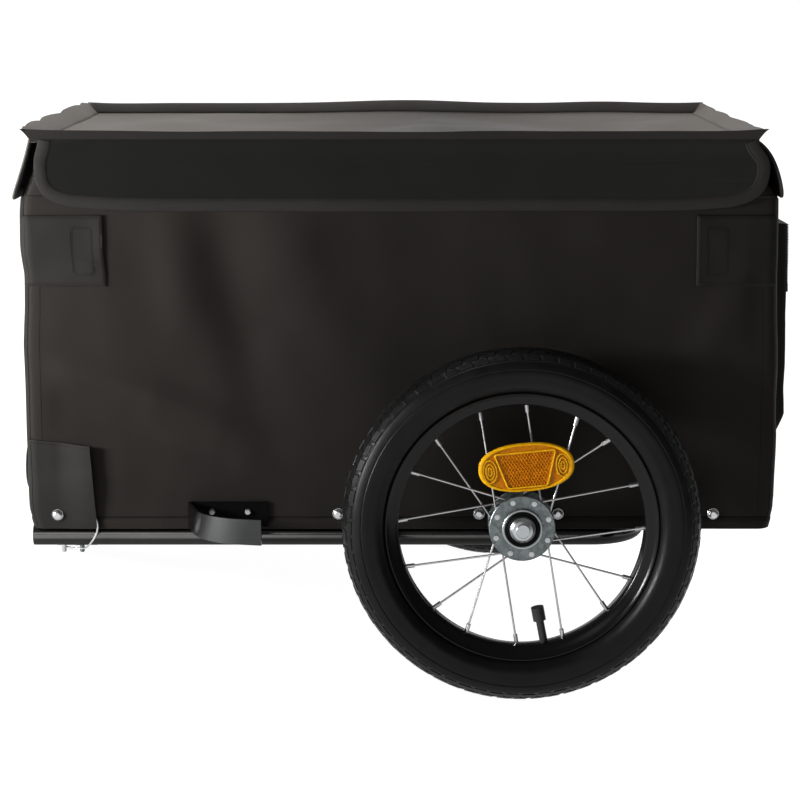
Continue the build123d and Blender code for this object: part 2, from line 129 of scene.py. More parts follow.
# ---------------------------------------------------------------- materials
def _group_weave():
    """Plain weave: height 0 to 1 from metric UVs, pitch in metres."""
    g = bpy.data.node_groups.new("plain_weave", "ShaderNodeTree")
    g.interface.new_socket("Vector", in_out="INPUT", socket_type="NodeSocketVector")
    g.interface.new_socket("Pitch", in_out="INPUT", socket_type="NodeSocketFloat")
    g.interface.new_socket("Height", in_out="OUTPUT", socket_type="NodeSocketFloat")
    n, link = g.nodes, g.links
    gi, go = n.new("NodeGroupInput"), n.new("NodeGroupOutput")
    sep = n.new("ShaderNodeSeparateXYZ")
    link.new(gi.outputs[0], sep.inputs[0])
    waves = []
    for k in range(2):
        div = n.new("ShaderNodeMath")
        div.operation = "DIVIDE"
        link.new(sep.outputs[k], div.inputs[0])
        link.new(gi.outputs[1], div.inputs[1])
        mul = n.new("ShaderNodeMath")
        mul.operation = "MULTIPLY"
        mul.inputs[1].default_value = math.pi
        link.new(div.outputs[0], mul.inputs[0])
        sine = n.new("ShaderNodeMath")
        sine.operation = "SINE"
        link.new(mul.outputs[0], sine.inputs[0])
        ab = n.new("ShaderNodeMath")
        ab.operation = "ABSOLUTE"
        link.new(sine.outputs[0], ab.inputs[0])
        waves.append((sine, ab))
    prod = n.new("ShaderNodeMath")
    prod.operation = "MULTIPLY"
    link.new(waves[0][0].outputs[0], prod.inputs[0])
    link.new(waves[1][0].outputs[0], prod.inputs[1])
    over = n.new("ShaderNodeMath")
    over.operation = "GREATER_THAN"
    over.inputs[1].default_value = 0.0
    link.new(prod.outputs[0], over.inputs[0])
    mixes = []
    for p, q in ((0, 1), (1, 0)):
        k = n.new("ShaderNodeMath")
        k.operation = "MULTIPLY_ADD"
        link.new(waves[q][1].outputs[0], k.inputs[0])
        k.inputs[1].default_value = 0.45
        k.inputs[2].default_value = 0.55
        m = n.new("ShaderNodeMath")
        m.operation = "MULTIPLY"
        link.new(waves[p][1].outputs[0], m.inputs[0])
        link.new(k.outputs[0], m.inputs[1])
        mixes.append(m)
    mix = n.new("ShaderNodeMix")
    mix.data_type = "FLOAT"
    link.new(over.outputs[0], mix.inputs[0])
    link.new(mixes[0].outputs[0], mix.inputs[2])
    link.new(mixes[1].outputs[0], mix.inputs[3])
    link.new(mix.outputs[0], go.inputs[0])
    return g


WEAVE = _group_weave()


class Mat:
    """A procedural material being wired up."""

    def __init__(self, name, base, rough, metal=0.0, spec=0.5):
        self.m = bpy.data.materials.new(name)
        self.m.use_nodes = True
        self.t = self.m.node_tree
        self.n = self.t.nodes
        self.link = self.t.links.new
        self.b = self.n["Principled BSDF"]
        self.b.inputs["Base Color"].default_value = (*base, 1.0)
        self.b.inputs["Roughness"].default_value = rough
        self.b.inputs["Metallic"].default_value = metal
        self.b.inputs["Specular IOR Level"].default_value = spec
        self.base = base
        self.coord = self.n.new("ShaderNodeTexCoord")
        self.normal = None
        self.m.diffuse_color = (*base, 1.0)

    def noise(self, scale, detail=3.0, rough=0.55, stretch=None, source="Object"):
        tex = self.n.new("ShaderNodeTexNoise")
        tex.inputs["Scale"].default_value = scale
        tex.inputs["Detail"].default_value = detail
        tex.inputs["Roughness"].default_value = rough
        self._feed(tex, stretch, source)
        return tex.outputs[0]

    def _feed(self, tex, stretch, source):
        if stretch is None:
            self.link(self.coord.outputs[source], tex.inputs["Vector"])
        else:
            mp = self.n.new("ShaderNodeMapping")
            mp.inputs["Scale"].default_value = stretch
            self.link(self.coord.outputs[source], mp.inputs["Vector"])
            self.link(mp.outputs[0], tex.inputs["Vector"])

    def voronoi(self, scale, feature="F1", stretch=None, source="Object"):
        tex = self.n.new("ShaderNodeTexVoronoi")
        tex.feature = feature
        tex.inputs["Scale"].default_value = scale
        self._feed(tex, stretch, source)
        return tex

    def weave(self, pitch):
        g = self.n.new("ShaderNodeGroup")
        g.node_tree = WEAVE
        g.inputs["Pitch"].default_value = pitch
        self.link(self.coord.outputs["UV"], g.inputs["Vector"])
        return g.outputs[0]

    def bump(self, height, strength, distance):
        bm = self.n.new("ShaderNodeBump")
        bm.inputs["Strength"].default_value = strength
        bm.inputs["Distance"].default_value = distance
        self.link(height, bm.inputs["Height"])
        if self.normal is not None:
            self.link(self.normal, bm.inputs["Normal"])
        self.normal = bm.outputs[0]
        self.link(self.normal, self.b.inputs["Normal"])
        return self

    def ramp(self, fac, stops):
        r = self.n.new("ShaderNodeValToRGB")
        el = r.color_ramp.elements
        while len(el) < len(stops):
            el.new(0.5)
        for e, (pos, col) in zip(el, stops):
            e.position = pos
            e.color = (*col, 1.0) if len(col) == 3 else col
        self.link(fac, r.inputs[0])
        return r.outputs[0]

    def colour(self, fac, lo, hi, at=(0.35, 0.65)):
        """Base colour between two tones by a pattern."""
        self.link(self.ramp(fac, [(at[0], lo), (at[1], hi)]), self.b.inputs["Base Color"])
        return self

    def along(self, source, axis, lo, hi, stops):
        """A grey tone that changes along one axis of a coordinate."""
        sep = self.n.new("ShaderNodeSeparateXYZ")
        self.link(self.coord.outputs[source], sep.inputs[0])
        mp = self.n.new("ShaderNodeMapRange")
        mp.inputs["From Min"].default_value = lo
        mp.inputs["From Max"].default_value = hi
        self.link(sep.outputs[axis], mp.inputs["Value"])
        return self.ramp(mp.outputs[0], [(at, (v, v, v)) for at, v in stops])

    def times(self, a, b):
        """Product of two colours."""
        mx = self.n.new("ShaderNodeVectorMath")
        mx.operation = "MULTIPLY"
        self.link(a, mx.inputs[0])
        self.link(b, mx.inputs[1])
        return mx.outputs[0]

    def mixcolour(self, fac, a, b):
        mx = self.n.new("ShaderNodeMix")
        mx.data_type = "RGBA"
        self.link(fac, mx.inputs[0])
        for sock, val in ((mx.inputs[6], a), (mx.inputs[7], b)):
            if isinstance(val, tuple):
                sock.default_value = (*val, 1.0)
            else:
                self.link(val, sock)
        return mx.outputs[2]

    def roughness(self, fac, lo, hi, at=(0.3, 0.7)):
        mp = self.n.new("ShaderNodeMapRange")
        mp.inputs["From Min"].default_value = at[0]
        mp.inputs["From Max"].default_value = at[1]
        mp.inputs["To Min"].default_value = lo
        mp.inputs["To Max"].default_value = hi
        self.link(fac, mp.inputs["Value"])
        self.link(mp.outputs[0], self.b.inputs["Roughness"])
        return self

    def set(self, **kw):
        for k, v in kw.items():
            self.b.inputs[k.replace("_", " ")].default_value = v
        return self


def fabric(name, base, rough=0.6, spec=0.2, pitch=0.0009, sheen=0.0, var=0.12, weave=0.35, light_ramp=None, hem=None):
    """Coated polyester: fine plain weave, slubs, a little unevenness in tone. The weave's hollows are darkened as
    painted shade; an optional ramp along X multiplies in painted light and shade, and an optional hem height paints a
    dark crease line with a faint painted highlight above it.
    """
    k = Mat(name, base, rough, spec=spec)
    w = k.weave(pitch)
    slub = k.noise(900.0, 2.0, source="UV", stretch=(0.25, 1.0, 1.0))
    blotch = k.noise(9.0, 4.0)
    lo = tuple(c * (1 - var) for c in base)
    hi = tuple(c * (1 + var) for c in base)
    tone = k.ramp(blotch, [(0.35, lo), (0.65, hi)])
    # the weave's low parts at 0.72 of the base: painted shade in the hollows between the threads
    dark = k.mixcolour(w, tuple(c * 0.72 for c in base), tone)
    # ramp along X: painted light and shade, the lamp's falloff along the trailer
    if light_ramp:
        dark = k.times(dark, k.along("Object", 0, -0.36, 0.36, light_ramp))
    # a dark line across the hem's top edge and a lighter line just above it: painted crease shade and painted
    # highlight
    if hem:
        dark = k.times(dark, k.along("UV", 1, hem - 0.004, hem + 0.004, ((0.0, 1.0), (0.36, 1.0), (0.45, 0.22), (0.57, 0.22), (0.68, 1.12), (0.8, 1.0))))
    k.link(dark, k.b.inputs["Base Color"])
    k.roughness(blotch, rough - 0.05, rough + 0.07)
    k.bump(slub, 0.12, 0.0003)
    k.bump(w, weave, 0.00025)
    if sheen:
        k.b.inputs["Sheen Weight"].default_value = sheen
        k.b.inputs["Sheen Roughness"].default_value = 0.45
    return k.m


def paint(name, base, rough, spec=0.5, coat=0.0):
    """Powder coat: fine orange peel, faint dust and handling marks."""
    k = Mat(name, base, rough, spec=spec)
    peel = k.noise(420.0, 2.0)
    dust = k.noise(16.0, 6.0, 0.65)
    k.link(
        k.ramp(
            dust,
            [
                (0.3, tuple(c * 0.88 for c in base)),
                (0.72, tuple(c * 1.12 + 0.0006 for c in base)),
            ],
        ),
        k.b.inputs["Base Color"],
    )
    k.roughness(dust, rough - 0.03, rough + 0.05, at=(0.3, 0.8))
    k.bump(peel, 0.03, 0.0004)
    if coat:
        k.b.inputs["Coat Weight"].default_value = coat
        k.b.inputs["Coat Roughness"].default_value = 0.12
    return k.m


def metal(name, base, rough, spangle=0.0, brushed=None):
    k = Mat(name, base, rough, metal=1.0)
    grain = k.noise(420.0, 3.0, stretch=brushed or (1.0, 1.0, 1.0))
    stain = k.noise(60.0, 5.0, 0.7)
    tone = k.ramp(
        stain, [(0.3, tuple(c * 0.82 for c in base)), (0.7, tuple(min(1, c * 1.1) for c in base))]
    )
    if spangle:
        cells = k.voronoi(spangle)
        cell_tone = k.n.new("ShaderNodeSeparateColor")
        k.link(cells.outputs["Color"], cell_tone.inputs[0])
        tone = k.mixcolour(cell_tone.outputs[0], tuple(c * 0.60 for c in base), tone)
        k.roughness(cell_tone.outputs[1], rough - 0.08, rough + 0.14, at=(0.0, 1.0))
    else:
        k.roughness(stain, rough - 0.05, rough + 0.08)
    k.link(tone, k.b.inputs["Base Color"])
    k.bump(grain, 0.06, 0.0002)
    return k.m


# cover fabric: its ramp along X is painted light, lighter at the front end and darker past the middle; its hem line is
# painted shade
M_WALL = fabric("cover_fabric", (0.0111, 0.0094, 0.0081), rough=0.58, spec=0.07, sheen=0.0, hem=0.1674, light_ramp=((0.0, 1.27), (0.22, 1.08), (0.46, 0.88), (1.0, 0.97)))
# lid top: a lit copy of the black cover fabric; its light base and strong blotches are painted sheen, and its ramp
# along X is painted light, dark in the middle and light at both ends
M_TOP_PAINTED_SHEEN = fabric("lid_fabric_painted_sheen", (0.062, 0.0515, 0.0425), rough=0.52, spec=0.13, sheen=0.0, var=0.30, light_ramp=((0.0, 1.36), (0.2, 1.28), (0.48, 0.42), (0.78, 1.22), (1.0, 1.34)))
# binding: its ramp along X is painted light, lighter towards the rear
M_BIND = fabric("binding_tape", (0.0142, 0.0131, 0.0120), rough=0.60, spec=0.08, pitch=0.0006, sheen=0.0, light_ramp=((0.0, 1.08), (0.5, 1.0), (1.0, 1.30)))
# far side of the welt, inner face: a lit copy of the binding, painted light
M_FAR_WELT_PAINTED_LIGHT = fabric("far_welt_painted_light", (0.0660, 0.0608, 0.0565), rough=0.60, spec=0.08, sheen=0.0)
# lid side skirt: its ramp along X is painted light, dark at the front and much brighter towards the rear against the
# lamp's falloff
M_PANEL = fabric("lid_panel_fabric", (0.0052, 0.0053, 0.0049), rough=0.58, spec=0.06, pitch=0.0007, weave=0.25, light_ramp=((0.0, 0.78), (0.5, 1.38), (1.0, 2.45)))
# end skirts: a lit copy of the panel fabric, painted light where they hang in shade
M_PANEL_END_PAINTED_LIGHT = fabric("lid_end_fabric_painted_light", (0.0240, 0.0240, 0.0215), rough=0.58, spec=0.08, pitch=0.0007, weave=0.25)
# front skirt's binding: a much lighter copy of the binding, painted highlight along its edges
M_BIND_END_PAINTED_HIGHLIGHT = fabric("end_binding_painted_highlight", (0.0760, 0.0720, 0.0660), rough=0.60, spec=0.10, pitch=0.0006)
M_INNER = fabric("lining", (0.030, 0.030, 0.029), rough=0.55, spec=0.2, pitch=0.0008)
# tabs: their ramp along X is painted light, darker towards the rear
M_PATCH = fabric("patch_fabric", (0.0124, 0.0113, 0.0100), rough=0.56, spec=0.08, pitch=0.0008, light_ramp=((0.0, 1.12), (0.5, 1.0), (1.0, 0.66)))
M_FLAP = fabric("flap_fabric", (0.0150, 0.0137, 0.0122), rough=0.56, spec=0.08, pitch=0.0008)
M_POCKET = fabric("pocket_fabric", (0.0086, 0.0080, 0.0074), rough=0.56, spec=0.06)


def thread_material():
    k = Mat("thread", (0.004, 0.004, 0.004), 0.7, spec=0.1)
    k.colour(k.noise(1500.0, 2.0), (0.003, 0.003, 0.003), (0.006, 0.006, 0.006))
    k.bump(k.noise(3000.0, 1.0), 0.3, 0.0001)
    return k.m


M_THREAD = thread_material()
M_BLACK = paint("steel_black", (0.004, 0.004, 0.0042), 0.26, spec=0.30, coat=0.0)
M_RIM = paint("rim_black", (0.0028, 0.0028, 0.0029), 0.20, spec=0.16)


def rail_paint():
    """Grey metallic lacquer. Faces turned downwards are painted near black, rough and non-metallic as painted shade;
    along its length it darkens towards the rear as a painted shadow of the wheel and painted light falloff.
    """
    k = Mat("tube_grey", (0.15, 0.148, 0.145), 0.20, metal=1.0)
    up = k.n.new("ShaderNodeVectorMath")
    up.operation = "DOT_PRODUCT"
    k.link(k.coord.outputs["Normal"], up.inputs[0])
    up.inputs[1].default_value = tuple(float(c) for c in PARK_R @ np.array([0.0, 0.0, 1.0]))
    # mask of faces turned downwards, where the rail's underside is painted shade
    painted_shade_underside = k.n.new("ShaderNodeMapRange")
    painted_shade_underside.interpolation_type = "SMOOTHSTEP"
    for name, value in (("From Min", -0.02), ("From Max", -0.30), ("To Min", 0.0), ("To Max", 1.0)):
        painted_shade_underside.inputs[name].default_value = value
    k.link(up.outputs["Value"], painted_shade_underside.inputs["Value"])
    dust = k.noise(18.0, 5.0, 0.6)
    marks_and_painted_light = k.ramp(dust, [(0.3, (0.130, 0.128, 0.125)), (0.7, (0.152, 0.149, 0.146))])
    # darker towards the rear: painted shadow of the wheel and painted light falloff
    marks_and_painted_light = k.times(marks_and_painted_light, k.along("Object", 0, -0.35, 0.30, ((0.0, 1.0), (0.40, 0.92), (0.52, 0.62), (1.0, 0.42))))
    # the underside's colour near black: painted shade
    k.link(k.mixcolour(painted_shade_underside.outputs[0], marks_and_painted_light, (0.0125, 0.012, 0.0117)), k.b.inputs["Base Color"])
    inv = k.n.new("ShaderNodeMath")
    inv.operation = "SUBTRACT"
    inv.inputs[0].default_value = 1.0
    k.link(painted_shade_underside.outputs[0], inv.inputs[1])
    k.link(inv.outputs[0], k.b.inputs["Metallic"])
    rough = k.n.new("ShaderNodeMapRange")
    rough.inputs["To Min"].default_value = 0.18
    rough.inputs["To Max"].default_value = 0.62
    k.link(painted_shade_underside.outputs[0], rough.inputs["Value"])
    k.link(rough.outputs[0], k.b.inputs["Roughness"])
    k.b.inputs["Specular IOR Level"].default_value = 0.15
    k.bump(k.noise(420.0, 2.0), 0.03, 0.0004)
    return k.m


M_TUBE = rail_paint()


def guard_steel(side):
    """Bright spring steel. Its foot, against the cover, is coloured near black and matt as painted shade cast by the
    strip; along the strip a painted highlight band lies between darker ends.
    """
    k = Mat("guard_steel_" + side, (0.095, 0.096, 0.097), 0.26, metal=1.0)
    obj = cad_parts["wheel_guard_" + side]
    sgn = -1.0 if side == "left" else 1.0
    local = [(obj.matrix_world.inverted() @ Vector((0.0, sgn * y, 0.0))).y for y in (0.2288, 0.2312)]
    sep = k.n.new("ShaderNodeSeparateXYZ")
    k.link(k.coord.outputs["Object"], sep.inputs[0])
    # mask: 1 on the strip, 0 on the foot against the cover, whose near-black colour is painted shade
    steel = k.n.new("ShaderNodeMapRange")
    steel.inputs["From Min"].default_value = local[0]
    steel.inputs["From Max"].default_value = local[1]
    k.link(sep.outputs["Y"], steel.inputs["Value"])
    stain = k.noise(30.0, 4.0, 0.6)
    marks_and_painted_light = k.ramp(stain, [(0.3, (0.068, 0.069, 0.070)), (0.7, (0.080, 0.081, 0.082))])
    # along the strip: dark at the curl, a bright band, then darker towards its end: painted highlight and shade
    ends = [(obj.matrix_world.inverted() @ Vector(parked((x, 0.0, 165.0)))).x for x in (-216.0, -150.0)]
    marks_and_painted_light = k.times(marks_and_painted_light, k.along("Object", 0, ends[0], ends[1], ((0.0, 0.30), (0.34, 0.34), (0.48, 1.22), (0.64, 1.08), (1.0, 0.62))))
    k.link(k.mixcolour(steel.outputs[0], (0.0012, 0.0012, 0.0012), marks_and_painted_light), k.b.inputs["Base Color"])
    k.link(steel.outputs[0], k.b.inputs["Metallic"])
    rough = k.n.new("ShaderNodeMapRange")
    rough.inputs["To Min"].default_value = 0.75
    rough.inputs["To Max"].default_value = 0.27
    k.link(steel.outputs[0], rough.inputs["Value"])
    k.link(rough.outputs[0], k.b.inputs["Roughness"])
    k.b.inputs["Specular IOR Level"].default_value = 0.03
    k.bump(k.noise(300.0, 2.0), 0.015, 0.0003)
    return k.m


M_GUARD_LEFT, M_GUARD_RIGHT = guard_steel("left"), guard_steel("right")
M_BOARD = paint("floor_board", (0.028, 0.028, 0.028), 0.65, spec=0.3)
M_ZINC = metal("zinc_plate", (0.172, 0.194, 0.196), 0.42, spangle=330.0)
M_CHROME = metal("bright_steel", (0.54, 0.54, 0.55), 0.25)
M_CAP = metal("cap_steel", (0.40, 0.42, 0.43), 0.30)
M_RING = metal("ring_steel", (0.34, 0.36, 0.36), 0.36)
M_SPOKE = metal("spoke_steel", (0.44, 0.44, 0.45), 0.30, brushed=(0.3, 1.0, 0.3))


def rubber(name, base, rough, grain=500.0, spec=0.30):
    k = Mat(name, base, rough, spec=spec)
    k.colour(k.noise(40.0, 5.0, 0.6), tuple(c * 0.8 for c in base), tuple(c * 1.25 for c in base))
    k.roughness(k.noise(90.0, 4.0), rough - 0.06, rough + 0.1)
    k.bump(k.noise(grain, 3.0), 0.1, 0.0004)
    return k.m


M_TYRE = rubber("tyre_rubber", (0.0028, 0.0028, 0.0029), 0.37, spec=0.12)
M_SEAL = rubber("seal_rubber", (0.0012, 0.0012, 0.0012), 0.45, grain=900.0, spec=0.06)
M_RUBBER = rubber("soft_rubber", (0.010, 0.010, 0.010), 0.5, grain=900.0)


def lens(name, base, deep, trans, cell):
    k = Mat(name, base, 0.24, spec=0.07)
    v = k.voronoi(cell)
    k.colour(v.outputs["Distance"], base, deep, at=(0.15, 0.75))
    k.bump(v.outputs["Distance"], 0.16, 0.0006)
    k.set(Transmission_Weight=trans, Coat_Weight=0.0, Coat_Roughness=0.06)
    return k.m


M_AMBER = lens("amber_lens", (0.39, 0.133, 0.001), (0.31, 0.095, 0.0008), 0.0, 420.0)
M_AMBER_CELL = lens("amber_prisms", (0.36, 0.112, 0.0008), (0.25, 0.066, 0.0004), 0.0, 260.0)
M_AMBER_EDGE = lens("amber_edge", (0.58, 0.305, 0.003), (0.50, 0.235, 0.002), 0.05, 260.0)
M_WHITE_LENS = lens("clear_lens", (0.72, 0.74, 0.76), (0.45, 0.47, 0.50), 0.3, 380.0)
M_RED_LENS = lens("red_lens", (0.30, 0.006, 0.005), (0.14, 0.002, 0.002), 0.1, 380.0)

node_material = {
    "chassis_tube": M_TUBE,
    "floor_frame": M_BLACK,
    "floor_panel": M_BOARD,
    "axle_receiver_left": M_BLACK,
    "axle_receiver_right": M_BLACK,
    "box_frame": M_BLACK,
    "wheel_guard_left": M_GUARD_LEFT,
    "wheel_guard_right": M_GUARD_RIGHT,
    "tow_bracket": M_BLACK,
    "tow_pivot_pin": M_ZINC,
    "tow_arm": M_TUBE,
    "hitch_clevis": M_ZINC,
    "lock_pin": M_CHROME,
    "bracket_bolt": M_ZINC,
}
for side in ("left", "right"):
    node_material.update(
        {
            "rim_" + side: M_RIM,
            "hub_" + side: M_ZINC,
            "axle_" + side: M_CAP,
            "spokes_" + side: M_SPOKE,
            "valve_" + side: M_RUBBER,
        }
    )
for node, material in node_material.items():
    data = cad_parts[node].data
    data.materials.clear()
    data.materials.append(material)


# ---------------------------------------------------------------- mesh makers
class Build:
    """Vertices and faces of one piece, gathered part by part, in level millimetres."""

    def __init__(self):
        self.v, self.f, self.uv, self.fm = [], [], [], []
        self.count = 0

    def add(self, verts, faces, uv=None, mat=0):
        verts = np.asarray(verts, float).reshape(-1, 3)
        self.v.append(verts)
        self.uv.append(
            np.asarray(uv, float).reshape(-1, 2) if uv is not None else verts[:, [0, 2]]
        )
        faces = [tuple(int(i) + self.count for i in f) for f in faces]
        self.f += faces
        self.fm += [mat] * len(faces)
        self.count += len(verts)

    def piece(self, name, mats, body, slot=None, smooth_angle=40.0, weld=0.0, level=True):
        v = np.concatenate(self.v) * 0.001
        uv = np.concatenate(self.uv) * 0.001
        if level:
            v = v @ PARK_R.T + PARK_T
        me = bpy.data.meshes.new(name)
        me.from_pydata(v.tolist(), [], self.f)
        layer = me.uv_layers.new(name="metric")
        idx = np.empty(len(me.loops), np.int32)
        me.loops.foreach_get("vertex_index", idx)
        layer.data.foreach_set("uv", uv[idx].astype(np.float32).ravel())
        me.polygons.foreach_set("material_index", np.asarray(self.fm, np.int32))
        bm = bmesh.new()
        bm.from_mesh(me)
        if weld:
            bmesh.ops.remove_doubles(bm, verts=bm.verts, dist=weld)
        bmesh.ops.recalc_face_normals(bm, faces=bm.faces)
        bm.to_mesh(me)
        bm.free()
        for m in mats if isinstance(mats, (list, tuple)) else [mats]:
            me.materials.append(m)
        me.shade_smooth()
        if smooth_angle < 180:
            me.set_sharp_from_angle(angle=math.radians(smooth_angle))
        me.update()
        obj = bpy.data.objects.new(name, me)
        bpy.context.scene.collection.objects.link(obj)
        if body:
            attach(obj, body)
        return obj


def grid_faces(nu, nv, close_u=False, base=0, flip=False):
    faces = []
    for i in range(nu if close_u else nu - 1):
        j0 = i * nv
        j1 = ((i + 1) % nu) * nv
        for j in range(nv - 1):
            q = (base + j0 + j, base + j1 + j, base + j1 + j + 1, base + j0 + j + 1)
            faces.append(q[::-1] if flip else q)
    return faces


def slab(build, surf, aa, bb, thick, n0=0.0, mat=0, edge_mat=None, roll=0.45, inner_mat=None):
    """A closed cloth slab over surf(a, b, n), with its four edges rounded."""
    A, B = np.meshgrid(aa, bb, indexing="ij")
    nu, nv = A.shape
    n0 = np.broadcast_to(n0, A.shape) if np.ndim(n0) else np.full(A.shape, n0)
    outer = surf(A, B, n0 + thick).reshape(-1, 3)
    inner = surf(A, B, n0).reshape(-1, 3)
    uv = np.stack([A.ravel(), B.ravel()], 1)
    base = build.count
    build.add(outer, grid_faces(nu, nv), uv, mat)
    build.add(inner, grid_faces(nu, nv, flip=True), uv, mat if inner_mat is None else inner_mat)
    off = nu * nv
    ring = (
        [(i, 0) for i in range(nu)]
        + [(nu - 1, j) for j in range(1, nv)]
        + [(i, nv - 1) for i in range(nu - 2, -1, -1)]
        + [(0, j) for j in range(nv - 2, 0, -1)]
    )
    da = np.sign(aa[-1] - aa[0])
    db = np.sign(bb[-1] - bb[0])
    ra, rb, rn = [], [], []
    for i, j in ring:
        a, b = A[i, j], B[i, j]
        if i == 0:
            a -= da * roll * thick
        if i == nu - 1:
            a += da * roll * thick
        if j == 0:
            b -= db * roll * thick
        if j == nv - 1:
            b += db * roll * thick
        ra.append(a)
        rb.append(b)
        rn.append(n0[i, j] + thick / 2)
    mid = surf(np.array(ra), np.array(rb), np.array(rn)).reshape(-1, 3)
    m0 = build.count
    k = len(ring)
    build.add(mid, [], np.stack([ra, rb], 1))
    edge = mat if edge_mat is None else edge_mat
    for q in range(k):
        w = (q + 1) % k
        o0, o1 = base + ring[q][0] * nv + ring[q][1], base + ring[w][0] * nv + ring[w][1]
        build.f.append((o0, m0 + q, m0 + w, o1))
        build.f.append((m0 + q, o0 + off, o1 + off, m0 + w))
        build.fm += [edge, edge]


def sweep(build, surf, path, section, closed=False, mat=0, twist=1.0):
    """A closed section (t inwards, n outwards) carried along a path on surf(a, b, n)."""
    path = np.asarray(path, float)
    k = len(path)
    if closed:
        tan = np.roll(path, -1, 0) - np.roll(path, 1, 0)
    else:
        tan = np.gradient(path, axis=0)
    tan /= np.linalg.norm(tan, axis=1)[:, None] + 1e-12
    inward = np.stack([-tan[:, 1], tan[:, 0]], 1) * twist
    sec = np.asarray(section, float)
    m = len(sec)
    a = path[:, None, 0] + inward[:, None, 0] * sec[None, :, 0]
    b = path[:, None, 1] + inward[:, None, 1] * sec[None, :, 0]
    n = np.broadcast_to(sec[None, :, 1], a.shape)
    pts = surf(a, b, n).reshape(-1, 3)
    length = np.concatenate([[0], np.cumsum(np.linalg.norm(np.diff(path, axis=0), axis=1))])
    per = np.concatenate([[0], np.cumsum(np.linalg.norm(np.diff(sec, axis=0), axis=1))])
    uv = np.stack(
        [np.broadcast_to(length[:, None], a.shape).ravel(), np.broadcast_to(per[None], a.shape).ravel()], 1
    )
    faces = []
    for i in range(k if closed else k - 1):
        i1 = (i + 1) % k
        for j in range(m):
            j1 = (j + 1) % m
            faces.append((i * m + j, i1 * m + j, i1 * m + j1, i * m + j1))
    if not closed:
        faces.append(tuple(range(m)))
        faces.append(tuple((k - 1) * m + j for j in range(m))[::-1])
    build.add(pts, faces, uv, mat)


def resample(path, step, closed=False):
    p = np.asarray(path, float)
    if closed:
        p = np.vstack([p, p[:1]])
    d = np.concatenate([[0], np.cumsum(np.linalg.norm(np.diff(p, axis=0), axis=1))])
    count = max(2, int(round(d[-1] / step)) + 1)
    s = np.linspace(0, d[-1], count)
    out = np.stack([np.interp(s, d, p[:, c]) for c in range(p.shape[1])], 1)
    return out[:-1] if closed else out


def rounded(path, radius, closed=True, steps=6):
    """Corners of a 2-D outline rounded off."""
    p = np.asarray(path, float)
    out = []
    k = len(p)
    for i in range(k):
        if not closed and i in (0, k - 1):
            out.append(p[i])
            continue
        a, b, c = p[i - 1], p[i], p[(i + 1) % k]
        u, v = (a - b), (c - b)
        lu, lv = np.linalg.norm(u), np.linalg.norm(v)
        r = min(radius, lu / 2, lv / 2)
        s, e = b + u / lu * r, b + v / lv * r
        for t in np.linspace(0, 1, steps):
            out.append((1 - t) ** 2 * s + 2 * t * (1 - t) * b + t * t * e)
    return np.array(out)


def stitches(build, surf, path, n, pitch=3.0, length=2.2, r=0.33, closed=False, mat=0):
    """Sewing thread: short rounded dashes sunk a little into the cloth."""
    p = resample(path, pitch, closed)
    q = np.roll(p, -1, 0) if closed else np.vstack([p[1:], p[-1:] * 2 - p[-2:-1]])
    tan = q - p
    tan /= np.linalg.norm(tan, axis=1)[:, None] + 1e-12
    side = np.stack([-tan[:, 1], tan[:, 0]], 1)
    k = len(p)
    rings = []
    for along, size in ((-0.5, 0.25), (-0.32, 0.9), (0.32, 0.9), (0.5, 0.25)):
        for ang in range(5):
            w = 2 * math.pi * ang / 5
            a = p[:, 0] + tan[:, 0] * along * length + side[:, 0] * r * size * math.cos(w)
            b = p[:, 1] + tan[:, 1] * along * length + side[:, 1] * r * size * math.cos(w)
            rings.append(surf(a, b, n + r * size * math.sin(w)))
    pts = np.stack(rings, 1)  # k, 20, 3
    faces = []
    for i in range(k):
        o = i * 20
        for c in range(3):
            for j in range(5):
                j1 = (j + 1) % 5
                faces.append((o + c * 5 + j, o + (c + 1) * 5 + j, o + (c + 1) * 5 + j1, o + c * 5 + j1))
        faces.append(tuple(o + j for j in range(5)))
        faces.append(tuple(o + 15 + j for j in range(5))[::-1])
    build.add(pts.reshape(-1, 3), faces, None, mat)


def lathe(build, profile, place, segs=32, closed_profile=False, mat=0, start=0.0):
    """A profile of (radius, along) turned about an axis; place(r cos, along, r sin) gives points."""
    prof = np.asarray(profile, float)
    m = len(prof)
    ang = start + np.arange(segs) * 2 * math.pi / segs
    x = prof[None, :, 0] * np.cos(ang)[:, None]
    z = prof[None, :, 0] * np.sin(ang)[:, None]
    y = np.broadcast_to(prof[None, :, 1], x.shape)
    pts = place(x.ravel(), y.ravel(), z.ravel())
    faces = []
    for i in range(segs):
        i1 = (i + 1) % segs
        for j in range(m if closed_profile else m - 1):
            j1 = (j + 1) % m
            faces.append((i * m + j, i1 * m + j, i1 * m + j1, i * m + j1))
    arc = ang[:, None] * prof[None, :, 0].max()
    per = np.concatenate([[0], np.cumsum(np.linalg.norm(np.diff(prof, axis=0), axis=1))])
    uv = np.stack([np.broadcast_to(arc, x.shape).ravel(), np.broadcast_to(per[None], x.shape).ravel()], 1)
    base = build.count
    build.add(pts, faces, uv, mat)
    if not closed_profile:
        for j in (0, m - 1):
            if prof[j, 0] > 1e-6:
                cap = tuple(base + i * m + j for i in range(segs))
                build.f.append(cap)
                build.fm.append(mat)


# ---------------------------------------------------------------- the box's cover
R_CORNER = 12.0
LONG, SHORT = 740.0 - 2 * R_CORNER, 450.0 - 2 * R_CORNER
ARC = math.pi / 2 * R_CORNER
STARTS = np.cumsum([0, LONG, ARC, SHORT, ARC, LONG, ARC, SHORT, ARC])
AROUND = STARTS[-1]
HEM, SHOULDER, RIMTOP = 156.0, 484.0, 533.0


